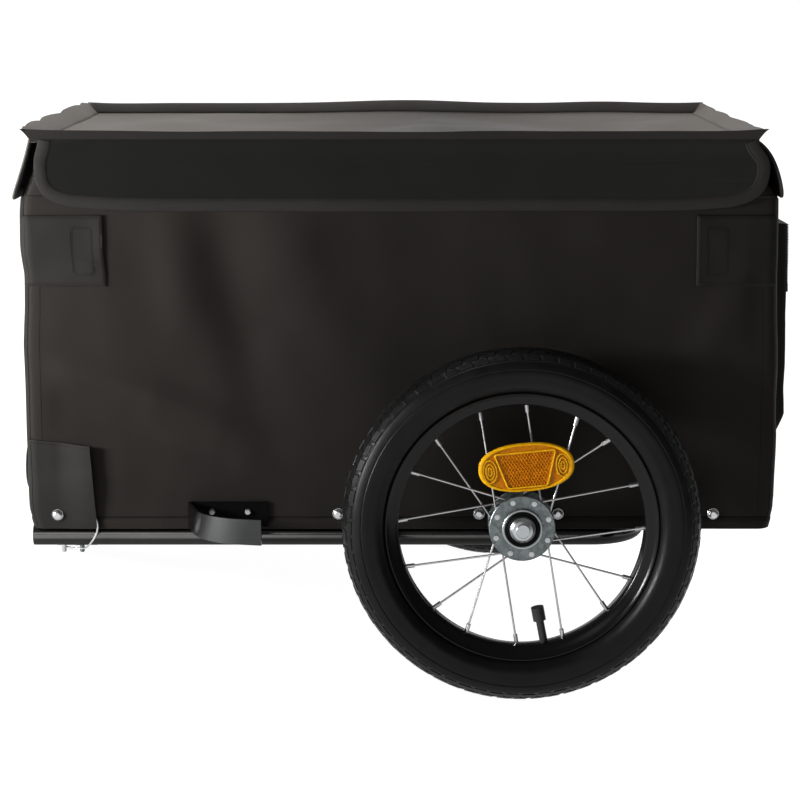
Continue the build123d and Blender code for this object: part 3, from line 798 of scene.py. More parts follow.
def plan(s):
    """Plan position, outward direction, and side number along the cover's edge."""
    s = np.mod(np.asarray(s, float), AROUND)
    x, y = np.zeros_like(s), np.zeros_like(s)
    nx, ny = np.zeros_like(s), np.zeros_like(s)
    hx, hy = 370.0, 225.0
    cx, cy = hx - R_CORNER, hy - R_CORNER
    straight = (
        (0, -cx, -hy, 1, 0, 0, -1),
        (2, hx, -cy, 0, 1, 1, 0),
        (4, cx, hy, -1, 0, 0, 1),
        (6, -hx, cy, 0, -1, -1, 0),
    )
    for k, x0, y0, dx, dy, ax, ay in straight:
        m = (s >= STARTS[k]) & (s < STARTS[k + 1])
        d = s[m] - STARTS[k]
        x[m], y[m], nx[m], ny[m] = x0 + dx * d, y0 + dy * d, ax, ay
    for k, px, py, a0 in ((1, cx, -cy, -90), (3, cx, cy, 0), (5, -cx, cy, 90), (7, -cx, -cy, 180)):
        m = (s >= STARTS[k]) & (s <= STARTS[k + 1])
        ang = np.radians(a0 + (s[m] - STARTS[k]) / ARC * 90)
        nx[m], ny[m] = np.cos(ang), np.sin(ang)
        x[m], y[m] = px + R_CORNER * nx[m], py + R_CORNER * ny[m]
    return x, y, nx, ny


LEFT_FOLDS = (
    # along, up, along, up, width, height
    (-222, 475, -214, 380, 24, 5.4),
    (-214, 400, -190, 330, 26, 3.2),
    (-176, 480, -168, 400, 26, -5.6),
    (-170, 410, -140, 300, 24, -5.2),
    (-145, 310, -120, 230, 26, -3.0),
    (-110, 478, -92, 400, 34, 5.0),
    (-96, 410, -30, 300, 40, 4.6),
    (-345, 318, -250, 292, 17, 5.9),
    (-260, 294, -165, 256, 17, 6.2),
    (-330, 276, -180, 236, 20, -5.8),
    (-305, 430, -270, 350, 26, 1.8),
    (20, 470, 60, 380, 34, -2.6),
    (80, 450, 110, 370, 26, -1.6),
    (215, 450, 190, 385, 30, 1.8),
    (345, 415, 285, 300, 22, 4.6),
    (300, 400, 250, 310, 24, -2.4),
    (330, 260, 345, 200, 20, 1.8),
    (-30, 250, 30, 190, 22, 1.6),
    (-356, 452, -350, 210, 9, 1.5),
)
RIGHT_FOLDS = tuple((a + 14, b - 8, c - 10, d + 6, w * 1.05, -h * 0.9) for a, b, c, d, w, h in LEFT_FOLDS)
END_FOLDS = (
    (-150, 450, -90, 300, 26, 2.6),
    (-60, 440, -20, 250, 30, -2.4),
    (40, 455, 90, 260, 28, 2.8),
    (120, 400, 180, 300, 22, -2.2),
    (-190, 260, -80, 215, 20, 2.0),
    (60, 225, 170, 205, 18, -1.8),
)


def face_swell(side, a, z):
    folds = (LEFT_FOLDS, END_FOLDS, RIGHT_FOLDS, END_FOLDS)[side]
    d = np.zeros_like(a)
    for f in folds:
        d = d + 0.66 * ridge(a, z, *f)
    if side in (0, 2):
        d = d + 2.2 * smooth(160, 290, z) * (1 - smooth(360, 470, z)) * (1 - (a / 380) ** 4)
    else:
        d = d + 1.8 * smooth(160, 290, z) * (1 - smooth(360, 470, z)) * (1 - (a / 235) ** 4)
    d = d + 1.1 * fbm(a / 110.0 + 11 * side, z / 95.0, 31 + side, 3)
    d = d + 0.22 * fbm(a / 22.0, z / 30.0, 57 + side, 2)
    return d


GUARD_X = (-222.0, -124.0)
BOLT_X = (-341.2, -62.5, 77.6, 155.9, 310.4)
BOLT_Z = 170.7


def swell(s, z):
    """How far the cover stands out of its flat walls."""
    x, y, nx, ny = plan(s)
    s = np.mod(s, AROUND)
    z = np.asarray(z, float)
    d = np.zeros(np.broadcast(s, z).shape)
    s, z = np.broadcast_arrays(s, z)
    x, y = np.broadcast_to(x, d.shape), np.broadcast_to(y, d.shape)
    for side, k in ((0, 0), (1, 2), (2, 4), (3, 6)):
        m = (s >= STARTS[k]) & (s < STARTS[k + 1])
        if not m.any():
            continue
        a = x[m] if side in (0, 2) else y[m]
        half = LONG / 2 if side in (0, 2) else SHORT / 2
        inset = np.clip((half - np.abs(a)) / 26.0, 0, 1)
        d[m] = face_swell(side, a, z[m]) * inset * inset * (3 - 2 * inset)
    # the corners breathe a little, the hem and the frame ring hold the cloth
    corner = np.exp(-(((np.abs(x) - 366.0) / 30.0) ** 2)) * np.exp(-(((np.abs(y) - 221.0) / 40.0) ** 2))
    wave = noise(z / 42.0 + np.sign(x) * 3.3, np.sign(y) * 2.7, 91)
    d = d + corner * (0.9 * wave + 0.3) * smooth(158, 190, z) * (1 - smooth(440, 500, z))
    hold = smooth(152, 215, z) * 0.86 + 0.14
    hold = hold * (1 - 0.75 * smooth(462, 524, z))
    d = d * hold
    # gathered a little between the bolts along the hem
    on_side = (np.abs(ny_of(s)) > 0.99)
    pull = np.zeros(d.shape)
    for bx in BOLT_X:
        r = np.hypot(x - bx, (z - BOLT_Z) * 1.0)
        pull = pull - 0.55 * np.exp(-((r / 15.0) ** 2)) + 0.25 * np.exp(-(((r - 26.0) / 12.0) ** 2))
    gather = 0.5 * np.cos(x / 9.0 + 1.7 * np.sin(x / 60.0)) * np.exp(-(((z - 176.0) / 12.0) ** 2))
    d = d + np.where(on_side, pull + gather * 0.5, 0.0)
    # flat behind the wheel guards
    guard = smooth(GUARD_X[0] - 20, GUARD_X[0], x) * (1 - smooth(GUARD_X[1], GUARD_X[1] + 20, x))
    guard = guard * (1 - smooth(186, 204, z)) * on_side
    d = d * (1 - guard) - 0.35 * guard
    # never into the frame bars or the ring inside
    low = np.where(z < 190, -1.0, np.where(z > 500, -1.2, -7.0))
    return np.maximum(d, low)


def ny_of(s):
    return plan(s)[3]


WAVE_Z = np.array([156, 166, 175, 190, 250, 300, 340, 375, 410, 430, 440, 470, 486, 500])
WAVE_D = np.array([-5.5, -2.6, -0.5, -0.4, 0.5, 0.5, 1.2, -0.6, -1.2, 1.5, 2.2, 2.4, 1.0, 0.0])


def lean(x, z):
    """The end walls' line: leaning in at the top, tapered a little at the hem, and wavy between."""
    k = np.clip((z - SHOULDER) / (RIMTOP - SHOULDER), 0, 1.05)
    wavy = np.interp(z, WAVE_Z, WAVE_D)
    full = np.interp(z, [156, 190, 250, 300, 340, 400, 470], [1.6, 2.6, 3.2, 2.9, 2.2, 1.0, 0.0])
    front, rear = -370.0 + 19.5 * k - wavy, 370.0 - 31.0 * k + np.where(z < 185, 0.8, 0.25) * wavy + full
    front = front - np.interp(z, [484, 495, 510, 526], [0.0, 1.0, 1.0, 0.0])
    return front + (x + 370.0) / 740.0 * (rear - front)


def wall(s, z, n):
    """A point n millimetres outside the cover."""
    s, z, n = np.broadcast_arrays(
        np.asarray(s, float), np.asarray(z, float), np.asarray(n, float)
    )
    x, y, nx, ny = plan(s)
    d = swell(s, z) + n
    # the front hem is cut away a little where the drawbar swings under it
    notch = (nx < -0.99) * (1 - smooth(14.0, 27.0, np.abs(y + 183.0)))
    # and the right hem where the folded drawbar's fork lies under it
    notch = np.maximum(notch, (ny > 0.99) * (1 - smooth(20.0, 34.0, np.abs(x + 325.0))))
    lift = 4.6 * notch * (1 - smooth(156.0, 176.0, z))
    return np.stack([lean(x, z) + nx * d, y + ny * d, z + lift], -1)


def s_left(x):
    return np.asarray(x, float) + LONG / 2


def s_right(x):
    return STARTS[4] + LONG / 2 - np.asarray(x, float)


def s_rear(y):
    return STARTS[2] + SHORT / 2 + np.asarray(y, float)


def s_front(y):
    return STARTS[6] + SHORT / 2 - np.asarray(y, float)


CLOTH = 1.9
AXLE_X, AXLE_Z, WHEEL_Y = 117.5, 174.0, 283.0

cols = []
for k in range(8):
    span = STARTS[k + 1] - STARTS[k]
    count = {LONG: 132, SHORT: 80}.get(round(span, 6), 6)
    cols += list(STARTS[k] + np.linspace(0, span, count, endpoint=False))
cols = np.array(cols)
rows = np.concatenate(
    [
        [156.0, 156.6, 158.6, 161.5, 164.6, 165.3, 166.0, 166.9, 169.5, 173, 177, 181.5],
        np.arange(187, 505, 5.6),
        [508, 513, 518, 523, 528, 531, 533],
    ]
)


def hem_profile(z):
    """Thickness added by the folded hem, with its stitched groove."""
    band = 0.9 * (1 - smooth(166.0, 167.0, z))
    groove = -0.75 * np.exp(-(((z - 165.6) / 0.7) ** 2))
    return band + groove


cover = Build()
S, Z = np.meshgrid(cols, rows, indexing="ij")
nu, nv = S.shape
extra = hem_profile(Z)
outer = wall(S, Z, extra)
inner = wall(S, Z, -CLOTH)
x_of, y_of, _, ny_s = plan(S)
in_hole = (np.abs(ny_s) > 0.99) & (np.hypot(x_of - AXLE_X, Z - AXLE_Z) < 17.0)
# vertices round each axle hole lie on its circle
for k in range(nu):
    for j in range(nv):
        if not in_hole[k, j]:
            continue
        dx, dz = x_of[k, j] - AXLE_X, Z[k, j] - AXLE_Z
        r = math.hypot(dx, dz)
        if r > 9.5:
            for arr in (outer, inner):
                arr[k, j, 0] = AXLE_X + dx / r * 14.0
                arr[k, j, 2] = AXLE_Z + dz / r * 14.0
uv = np.stack([S.ravel(), Z.ravel()], 1)
cut = set()
for k in range(nu):
    for j in range(nv - 1):
        k1 = (k + 1) % nu
        if all(in_hole[a, b] for a, b in ((k, j), (k1, j), (k1, j + 1), (k, j + 1))):
            cut.add((k, j))
faces_o, faces_i = [], []
off = nu * nv
for k in range(nu):
    k1 = (k + 1) % nu
    for j in range(nv - 1):
        if (k, j) in cut:
            continue
        q = (k * nv + j, k1 * nv + j, k1 * nv + j + 1, k * nv + j + 1)
        faces_o.append(q)
        faces_i.append(tuple(off + i for i in q[::-1]))
cover.add(outer, faces_o, uv, 0)
cover.add(inner, [tuple(i - off for i in f) for f in faces_i], uv, 1)
# side walls of the axle holes
for k, j in cut:
    k1 = (k + 1) % nu
    for (a, b), (nk, nj) in (
        (((k, j), (k1, j)), (k, j - 1)),
        (((k1, j), (k1, j + 1)), (k1, j)),
        (((k1, j + 1), (k, j + 1)), (k, j + 1)),
        (((k, j + 1), (k, j)), ((k - 1) % nu, j)),
    ):
        if (nk, nj) not in cut:
            i0, i1 = a[0] * nv + a[1], b[0] * nv + b[1]
            cover.f.append((i0, i1, i1 + off, i0 + off))
            cover.fm.append(0)
# hem fold at the bottom, bound edge at the top
for j, drop in ((0, -0.7), (nv - 1, 0.7)):
    mid = wall(cols, np.full(nu, rows[j] + drop), np.full(nu, -CLOTH / 2 + (0.4 if j == 0 else 0)))
    m0 = cover.count
    cover.add(mid, [], np.stack([cols, np.full(nu, rows[j])], 1))
    for k in range(nu):
        k1 = (k + 1) % nu
        cover.f.append((k * nv + j, k1 * nv + j, m0 + k1, m0 + k))
        cover.f.append((m0 + k, m0 + k1, off + k1 * nv + j, off + k * nv + j))
        cover.fm += [0, 0]
box_cover = cover.piece("box_cover", [M_WALL, M_INNER], "chassis", "fabric_dark", 60)
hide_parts("side_panel_left", "side_panel_right", "front_panel", "rear_panel")

# thread along the hem and down the corner seams
thread = Build()
stitches(thread, wall, np.stack([np.linspace(0, AROUND, 900, endpoint=False), np.full(900, 165.6)], 1), 0.25, 3.4, 2.4, 0.32)
for sx, s_of in ((-1, s_left), (1, s_left), (-1, s_right), (1, s_right)):
    for off_x in (4.5,):
        s0 = float(s_of(sx * (358.0 - off_x)))
        line = np.stack([np.full(80, s0), np.linspace(170, 468, 80)], 1)
        stitches(thread, wall, line, 0.15, 3.4, 2.4, 0.3)
cover_thread = thread.piece("cover_thread", M_THREAD, "chassis", "fabric_dark", 180)

# corner seams: a thin ridge down each corner, and two piped seams round the top
binding = Build()
for s0 in (
    float(s_left(-358.0)) - ARC * 0.42,
    float(s_left(358.0)) + ARC * 0.42,
    float(s_right(358.0)) - ARC * 0.42,
    float(s_right(-358.0)) + ARC * 0.42,
):
    line = np.stack([np.full(110, s0), np.linspace(158, 531, 110)], 1)
    sec = [(-0.8, -0.3), (-0.7, 0.25), (-0.35, 0.5), (0, 0.55), (0.35, 0.5), (0.7, 0.25), (0.8, -0.3)]
    sweep(binding, wall, line, sec)
corner_seams = binding.piece("corner_seams", M_WALL, "chassis", "fabric_dark", 60)
piping = Build()
for zc in (487.0, 505.5):
    line = np.stack([cols, np.full(len(cols), zc)], 1)
    tan_s = np.array([(-1.0, -0.3), (-0.8, 0.45), (0, 0.8), (0.8, 0.45), (1.0, -0.3)])
    rings = np.stack([wall(cols, np.full(len(cols), zc + t), np.full(len(cols), n)) for t, n in tan_s], 1)
    kk, mm = rings.shape[:2]
    pf = []
    for i in range(kk):
        i1 = (i + 1) % kk
        for j in range(mm):
            j1 = (j + 1) % mm
            pf.append((i * mm + j, i1 * mm + j, i1 * mm + j1, i * mm + j1))
    piping.add(rings.reshape(-1, 3), pf, np.stack([np.repeat(cols, mm), np.tile(tan_s[:, 0], kk)], 1))
top_piping = piping.piece("top_piping", M_BIND, "chassis", "fabric_lid", 60)

# grommets round the axle bosses
for side, sgn in (("left", -1.0), ("right", 1.0)):
    g = Build()

    def place(x, y, z, sgn=sgn):
        return np.stack([AXLE_X + x, sgn * (225.0 + y), AXLE_Z + z], 1)

    prof = [(12.4, -3.2), (12.4, 2.6), (13.4, 3.2), (18.5, 2.6), (20.0, 1.4), (20.0, -0.4), (16.0, -1.0), (16.0, -3.2)]
    lathe(g, prof, place, 48, closed_profile=True)
    g.piece("axle_grommet_" + side, M_RUBBER, "chassis", "rubber_black", 35)


# ---------------------------------------------------------------- patches on the walls
def tab(name, s0, s1, z0, z1, n_fn, thick=1.5, box=None, s_box=None, edge=True, mat=None):
    """A sewn fabric tab lying on the cover: a closed slab, edge seam, and a stitched box."""

    def surf(a, b, n):
        return wall(a, b, n + n_fn(a, b))

    b = Build()
    na = max(10, int(abs(s1 - s0) / 3.0))
    nb = max(10, int(abs(z1 - z0) / 3.0))
    slab(b, surf, np.linspace(s0, s1, na), np.linspace(z0, z1, nb), thick, 0.25)
    obj = b.piece(name, mat or M_PATCH, "chassis", "fabric_dark", 50)
    t = Build()
    if edge:
        e = 2.6
        loop = [(s0 + e, z0 + e), (s1 - e, z0 + e), (s1 - e, z1 - e), (s0 + e, z1 - e)]
        stitches(t, surf, resample(np.array(loop + loop[:1]), 1.0), thick + 0.3, 3.2, 2.2, 0.3)
    if box:
        loop = rounded(np.array([(box[0], box[2]), (box[1], box[2]), (box[1], box[3]), (box[0], box[3])]), 5.0)
        stitches(t, surf, np.vstack([loop, loop[:1]]), thick + 0.3, 2.8, 2.0, 0.40)
        inset = rounded(
            np.array([(box[0] + 1.6, box[2] + 1.6), (box[1] - 1.6, box[2] + 1.6), (box[1] - 1.6, box[3] - 1.6), (box[0] + 1.6, box[3] - 1.6)]),
            4.0,
        )
        stitches(t, surf, np.vstack([inset, inset[:1]]), thick + 0.3, 2.8, 2.0, 0.34)
    if edge or box:
        tabs.append(t.piece(name + "_thread", M_THREAD, "chassis", "fabric_dark", 180))
    return obj


def flat_lift(a0, a1, amount):
    return lambda a, b: amount * smooth(a0, a1, a)


tabs = []
# upper tabs, two to a side, sewn in at the corner seams
for sgn, s_of in (("left", s_left), ("right", s_right)):
    for end, x_in, bx0, bx1 in (("front", -288.4, -319.3, -298.4), ("rear", 289.6, 298.6, 319.8)):
        outer_x = -358.0 - ARC * 0.42 if end == "front" else 358.0 + ARC * 0.42
        sa, sb = float(s_of(outer_x)), float(s_of(x_in))
        lo, hi = min(sa, sb), max(sa, sb)
        b0, b1 = sorted((float(s_of(bx0)), float(s_of(bx1))))
        free = sb

        def n_fn(a, b, free=free, sa=sa):
            lift = 1.0 * np.exp(-(((a - free) / 12.0) ** 2)) * (0.6 + 0.4 * np.sin(b / 17.0))
            return lift + 0.5 * noise(a / 25.0, b / 22.0, 161) * smooth(0, 12, np.abs(a - sa))

        tabs.append(
            tab("upper_tab_%s_%s" % (sgn, end), lo, hi, 399.8, 468.2, n_fn, 1.5, (b0, b1, 410.0, 457.0))
        )


# lower corner flaps, held by the first bolt and lifting at their free edge
def lower_flap(name, s_of):
    sa, sb = float(s_of(-358.0 - ARC * 0.42)), float(s_of(-300.5))
    way = np.sign(sb - sa)

    def n_fn(a, b):
        x_like = (a - float(s_of(-341.2))) * way
        rise = smooth(0.0, 40.0, x_like)
        return 7.5 * rise * (0.3 + 0.7 * smooth(165.0, 215.0, b)) + 0.6 * np.sin(b / 13.0) * rise

    def surf(a, t, n):
        x_like = (a - sa) * way
        top = 246.6 - 5.6 * np.clip(x_like / 62.0, 0, 1)
        a = sa + (a - sa) * np.interp(t, [0.0, 0.2, 0.6, 1.0], [0.93, 0.975, 0.952, 0.918])
        bot = 156.6
        z = bot + (top - bot) * t
        return wall(a, z, n + n_fn(a, z))

    b = Build()
    slab(b, surf, np.linspace(min(sa, sb), max(sa, sb), 44), np.linspace(0.0, 1.0, 40), 1.6, 1.1, roll=0.0)
    obj = b.piece(name, M_FLAP, "chassis", "fabric_dark", 50)
    t = Build()
    line = np.array([(sa + way * 2.6, 0.02), (sa + way * 2.6, 0.97), (sb - way * 2.6, 0.97)])
    line = line[np.argsort(line[:, 0])] if way < 0 else line
    pts_a = resample(line * np.array([1.0, 84.0]), 1.0) / np.array([1.0, 84.0])

    def surf_mm(a, b_mm, n):
        return surf(a, b_mm / 84.0, n)

    stitches(t, surf_mm, pts_a * np.array([1.0, 84.0]), 3.0, 3.2, 2.2, 0.3)
    return obj, t.piece(name + "_thread", M_THREAD, "chassis", "fabric_dark", 180)


flap_left = lower_flap("lower_flap_left", s_left)
flap_right = lower_flap("lower_flap_right", s_right)
tabs += [*flap_left, *flap_right]


# ---------------------------------------------------------------- bolts through the cover
def bolt_head(build, centre, outward, r=5.1):
    """A button-headed bolt with a hexagon socket on a thin washer."""
    c = np.asarray(centre, float)
    sgn = 1.0 if outward > 0 else -1.0
    w = r * 1.12

    def place(x, y, z):
        return np.stack([c[0] + x, c[1] + sgn * y, c[2] + z], 1)

    lathe(build, [(0.0, -0.6), (w - 0.3, -0.6), (w, -0.3), (w, 0.1), (w - 0.3, 0.4), (r - 0.6, 0.45)], place, 32)
    dome = [(r, 0.2)] + [
        (r * math.cos(t), 0.6 + 2.9 * math.sin(t)) for t in np.radians(np.linspace(4, 64, 8))
    ]
    lathe(build, dome + [(2.35, 3.2)], place, 36)
    # hexagon socket
    hexa = [(2.35 * math.cos(k), 2.35 * math.sin(k)) for k in np.radians(np.arange(0, 360, 60))]
    xs = np.array([q[0] for q in hexa] * 2)
    zs = np.array([q[1] for q in hexa] * 2)
    ys = np.array([3.24] * 6 + [1.5] * 6)
    v = place(xs, ys, zs)
    f = [(j, (j + 1) % 6, 6 + (j + 1) % 6, 6 + j) for j in range(6)] + [tuple(range(6, 12))]
    build.add(v, f)


bolts = Build()
for bx in BOLT_X:
    for sgn, s_of in ((-1, s_left), (1, s_right)):
        lift = 0.0
        if bx < -330:
            lift = 3.4
        p = wall(s_of(bx), BOLT_Z, 0.3 + lift)
        bolt_head(bolts, p, sgn)
bolts.piece("cover_bolts", M_CHROME, "chassis", "zinc", 35)

guard_bolts = Build()
for sgn in (-1, 1):
    for bx in (-186.5, -151.0):
        bolt_head(guard_bolts, (bx, sgn * 228.2, 173.8), sgn, 2.7)
guard_bolts.piece("guard_bolts", M_CHROME, "chassis", "zinc", 35)


# ---------------------------------------------------------------- lid
LX0, LX1, LY0, LY1 = -357.0, 346.0, -232.7, 230.0


def lid_sag(x, y):
    """Height of the lid's top sheet above its flat plane."""
    u = (x - (LX0 + LX1) / 2) / ((LX1 - LX0) / 2)
    v = (y - (LY0 + LY1) / 2) / ((LY1 - LY0) / 2)
    bowl = (1 - u**4) * (1 - np.abs(v) ** 3)
    h = -3.2 * bowl
    h = h + 2.4 * bowl * fbm(x / 150.0, y / 110.0, 71, 2)
    for f in (
        (-330, -190, -200, 190, 55, 5.5),
        (-210, -210, 20, 120, 60, -5.0),
        (-40, -200, 60, 200, 60, 4.6),
        (70, 200, 330, -150, 48, -5.2),
        (190, -210, 335, 150, 44, 5.4),
    ):
        h = h + ridge(x, y, *f) * (1 - u**8) * (1 - v**8)
    h = h + 0.16 * fbm(x / 16.0, y / 16.0, 77, 2)
    return h + edge_roll(x, y)


def edge_roll(x, y):
    """The lid's far edge and rear end ride a little high, in slow waves."""
    far = smooth(-60.0, 225.0, y)
    wave = 1.0 + 2.2 * np.exp(-(((x - 0.0) / 85.0) ** 2)) + 1.3 * np.exp(-(((x - 235.0) / 60.0) ** 2))
    return far * wave

def lid_surface(x, y, n):
    return np.stack([x, y, 541.6 + lid_sag(x, y) + n], -1)


top = Build()
slab(top, lid_surface, np.linspace(LX0 + 0.5, LX1 - 0.5, 150), np.linspace(LY0 + 0.5, LY1 - 0.5, 100), 1.9, -1.9, inner_mat=1)
lid_top = top.piece("lid_top", [M_TOP_PAINTED_SHEEN, M_INNER], "lid", "fabric_lid", 60)
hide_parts("lid_panel")

# the standing welt round the lid: two layers sewn flat, flared outwards, pointed at its corners
corner_pts = [(LX0, LY0), (LX1, LY0), (LX1, LY1), (LX0, LY1)]
side_dirs = [(0, -1), (1, 0), (0, 1), (-1, 0)]
welt = Build()
LEVELS = np.array([-0.22, 0.0, 0.12, 0.3, 0.5, 0.7, 0.86, 0.96, 1.0])


def welt_point(side, t, k, off):
    """Side 0 left, 1 rear, 2 right, 3 front; t along it 0 to 1; k up the welt 0 to 1."""
    (x0, y0), (x1, y1) = corner_pts[side], corner_pts[(side + 1) % 4]
    x, y = x0 + (x1 - x0) * t, y0 + (y1 - y0) * t
    length = math.hypot(x1 - x0, y1 - y0)
    along = np.minimum(t, 1 - t) * length
    ear = np.exp(-along / 9.0)
    ox, oy = side_dirs[side]
    up = np.maximum(k, 0.0)
    flare = 7.2 * up**1.15
    wav = 0.9 * noise(t * length / 58.0, side * 3.7, 83) + 0.35 * noise(t * length / 21.0, side * 5.1, 84)
    flare = flare + wav * up * (1 - ear)
    # the two ends flop outwards in soft puckers
    soft = (1.0 if side in (1, 3) else 0.0) * smooth(0.0, 26.0, along)
    lump = np.abs(np.sin(np.pi * t * length / 128.0 + 0.5 * np.sin(t * length / 60.0) + 0.5 * side)) ** 0.7
    flare = flare + soft * up * (2.2 + (1.7 if side == 1 else 3.4) * lump)
    prev_dir, next_dir = side_dirs[(side - 1) % 4], side_dirs[(side + 1) % 4]
    f_end = 7.2 * up**1.15 + 2.2 * up**2
    miter = np.exp(-along / 3.0)
    ex = np.where(t < 0.5, prev_dir[0], next_dir[0]) * f_end * miter
    ey = np.where(t < 0.5, prev_dir[1], next_dir[1]) * f_end * miter
    h = 10.2 * k + 0.5 * noise(t * length / 75.0, side * 2.3, 85) * up * (1 - ear)
    h = h + 0.9 * ear * up + soft * up * ((0.5 if side == 1 else 1.7) * lump + (0.9 if side == 3 else -2.6))
    if side == 0:
        h = h - 1.5 * up * (1 - (2 * t - 1) ** 6)
    if side == 2:
        h = h + 0.3 * up + 1.2 * np.exp(-((x / 70.0) ** 2)) * up + 0.8 * np.exp(-(((x - 235.0) / 55.0) ** 2)) * up
    h = h + edge_roll(x, y)
    # the ends are stuffed: a soft roll on their inner side
    off = np.where(off < 0, off - soft * (4.6 + 1.6 * lump) * (1 - np.clip((k + 0.22) / 1.22, 0, 1) ** 1.6), off)
    px = x + ox * (flare + off) + ex
    py = y + oy * (flare + off) + ey
    return px, py, 542.6 + h


for side in range(4):
    (x0, y0), (x1, y1) = corner_pts[side], corner_pts[(side + 1) % 4]
    length = math.hypot(x1 - x0, y1 - y0)
    ts = np.concatenate(
        [np.array([0, 0.7, 1.6, 3, 5, 8, 12]) / length, np.linspace(18 / length, 1 - 18 / length, int(length / 3.5)), 1 - np.array([12, 8, 5, 3, 1.6, 0.7, 0]) / length]
    )
    T, K = np.meshgrid(ts, LEVELS, indexing="ij")
    outp = np.stack(welt_point(side, T, K, 1.1 * (1 - 0.55 * K**8)), -1)
    inp = np.stack(welt_point(side, T, K, -1.1 * (1 - 0.55 * K**8)), -1)
    m, q = T.shape
    uvw = np.stack([(T * length).ravel(), (K * 13).ravel()], 1)
    base = welt.count
    # inner faces: the ends take the lid top's lit copy, the far side its own lit copy: painted light
    tone = {0: 0, 1: 1, 2: 2, 3: 1}[side]
    welt.add(outp, grid_faces(m, q), uvw, 0)
    welt.add(inp, grid_faces(m, q, flip=True), uvw, tone)
    offw = m * q
    for j in range(m - 1):
        a, b = base + j * q, base + (j + 1) * q
        welt.f += [(a + q - 1, b + q - 1, b + q - 1 + offw, a + q - 1 + offw), (a, a + offw, b + offw, b)]
        welt.fm += [0, 0]
    for j in range(q - 1):
        for a in (base, base + (m - 1) * q):
            welt.f.append((a + j, a + j + 1, a + j + 1 + offw, a + j + offw))
            welt.fm.append(0)
lid_welt = welt.piece("lid_welt", [M_BIND, M_TOP_PAINTED_SHEEN, M_FAR_WELT_PAINTED_LIGHT], "lid", "fabric_lid", 60, weld=0.00002)
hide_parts("lid_rim")


# ---- skirts hanging from the lid's edge
def left_skirt(a, b, n):
    """a along X, b down from the lid's edge."""
    a, b, n = np.broadcast_arrays(a, b, n)
    k = np.clip(b / 69.0, 0, 1)
    out = 0.9 * k * noise(a / 66.0, b / 60.0, 101) + 0.5 * k * k * np.sin(a / 95.0 + 0.6)
    out = out + 0.16 * noise(a / 16.0, b / 16.0, 102)
    out = out + 2.1 * (1 - smooth(2.0, 16.0, b))
    z = 543.2 - b + 1.3 * k * noise(a / 150.0, 0.5, 103)
    return np.stack([a, -231.6 - out - n, z], -1)


def front_skirt(a, b, n):
    a, b, n = np.broadcast_arrays(a, b, n)
    k = np.clip(b / 59.0, 0, 1)
    dx, dz = -17.6 / 59.2, -56.5 / 59.2
    out = 0.8 * k * noise(a / 70.0, b / 50.0, 111) - 0.5 * np.sin(np.pi * k) + 0.15 * noise(a / 17.0, b / 17.0, 112)
    off = n + out + 1.6
    return np.stack([-356.6 + dx * b + dz * off, a, 542.0 + dz * b - dx * off], -1)


REAR_P = np.array([(345.5, 542.5), (357.0, 533.5), (363.0, 523.0), (367.5, 512.0), (373.8, 490.0), (374.0, 482.0)])
REAR_D = np.concatenate([[0], np.cumsum(np.linalg.norm(np.diff(REAR_P, axis=0), axis=1))])


def rear_curve(b):
    """A rounded shoulder: x and z at a distance b down the rear skirt, and its outward normal."""
    bb = np.clip(b, -4, REAR_D[-1] + 4)
    cx = np.polyfit(REAR_D, REAR_P[:, 0], 3)
    cz = np.polyfit(REAR_D, REAR_P[:, 1], 3)
    x, z = np.polyval(cx, bb), np.polyval(cz, bb)
    tx, tz = np.polyval(np.polyder(cx), bb), np.polyval(np.polyder(cz), bb)
    ln = np.hypot(tx, tz)
    return x, z, -tz / ln, tx / ln


def rear_skirt(a, b, n):
    a, b, n = np.broadcast_arrays(a, b, n)
    k = np.clip(b / 64.0, 0, 1)
    x, z, nx, nz = rear_curve(b)
    out = 0.8 * k * noise(a / 66.0, b / 50.0, 121) + 0.15 * noise(a / 17.0, b / 17.0, 122)
    off = n + out - 1.2
    return np.stack([x + nx * off, a, z + nz * off], -1)


SIDE_RISE = np.array([(0, 38), (0.5, 33), (2.2, 25.5), (7.1, 16.6), (17.4, 9.1), (33.7, 3.8), (71, 0.8), (110, 0)], float)
END_RISE = np.array([(0, 9), (0.8, 6.2), (2.6, 3.0), (5.4, 1.0), (9, 0)], float)


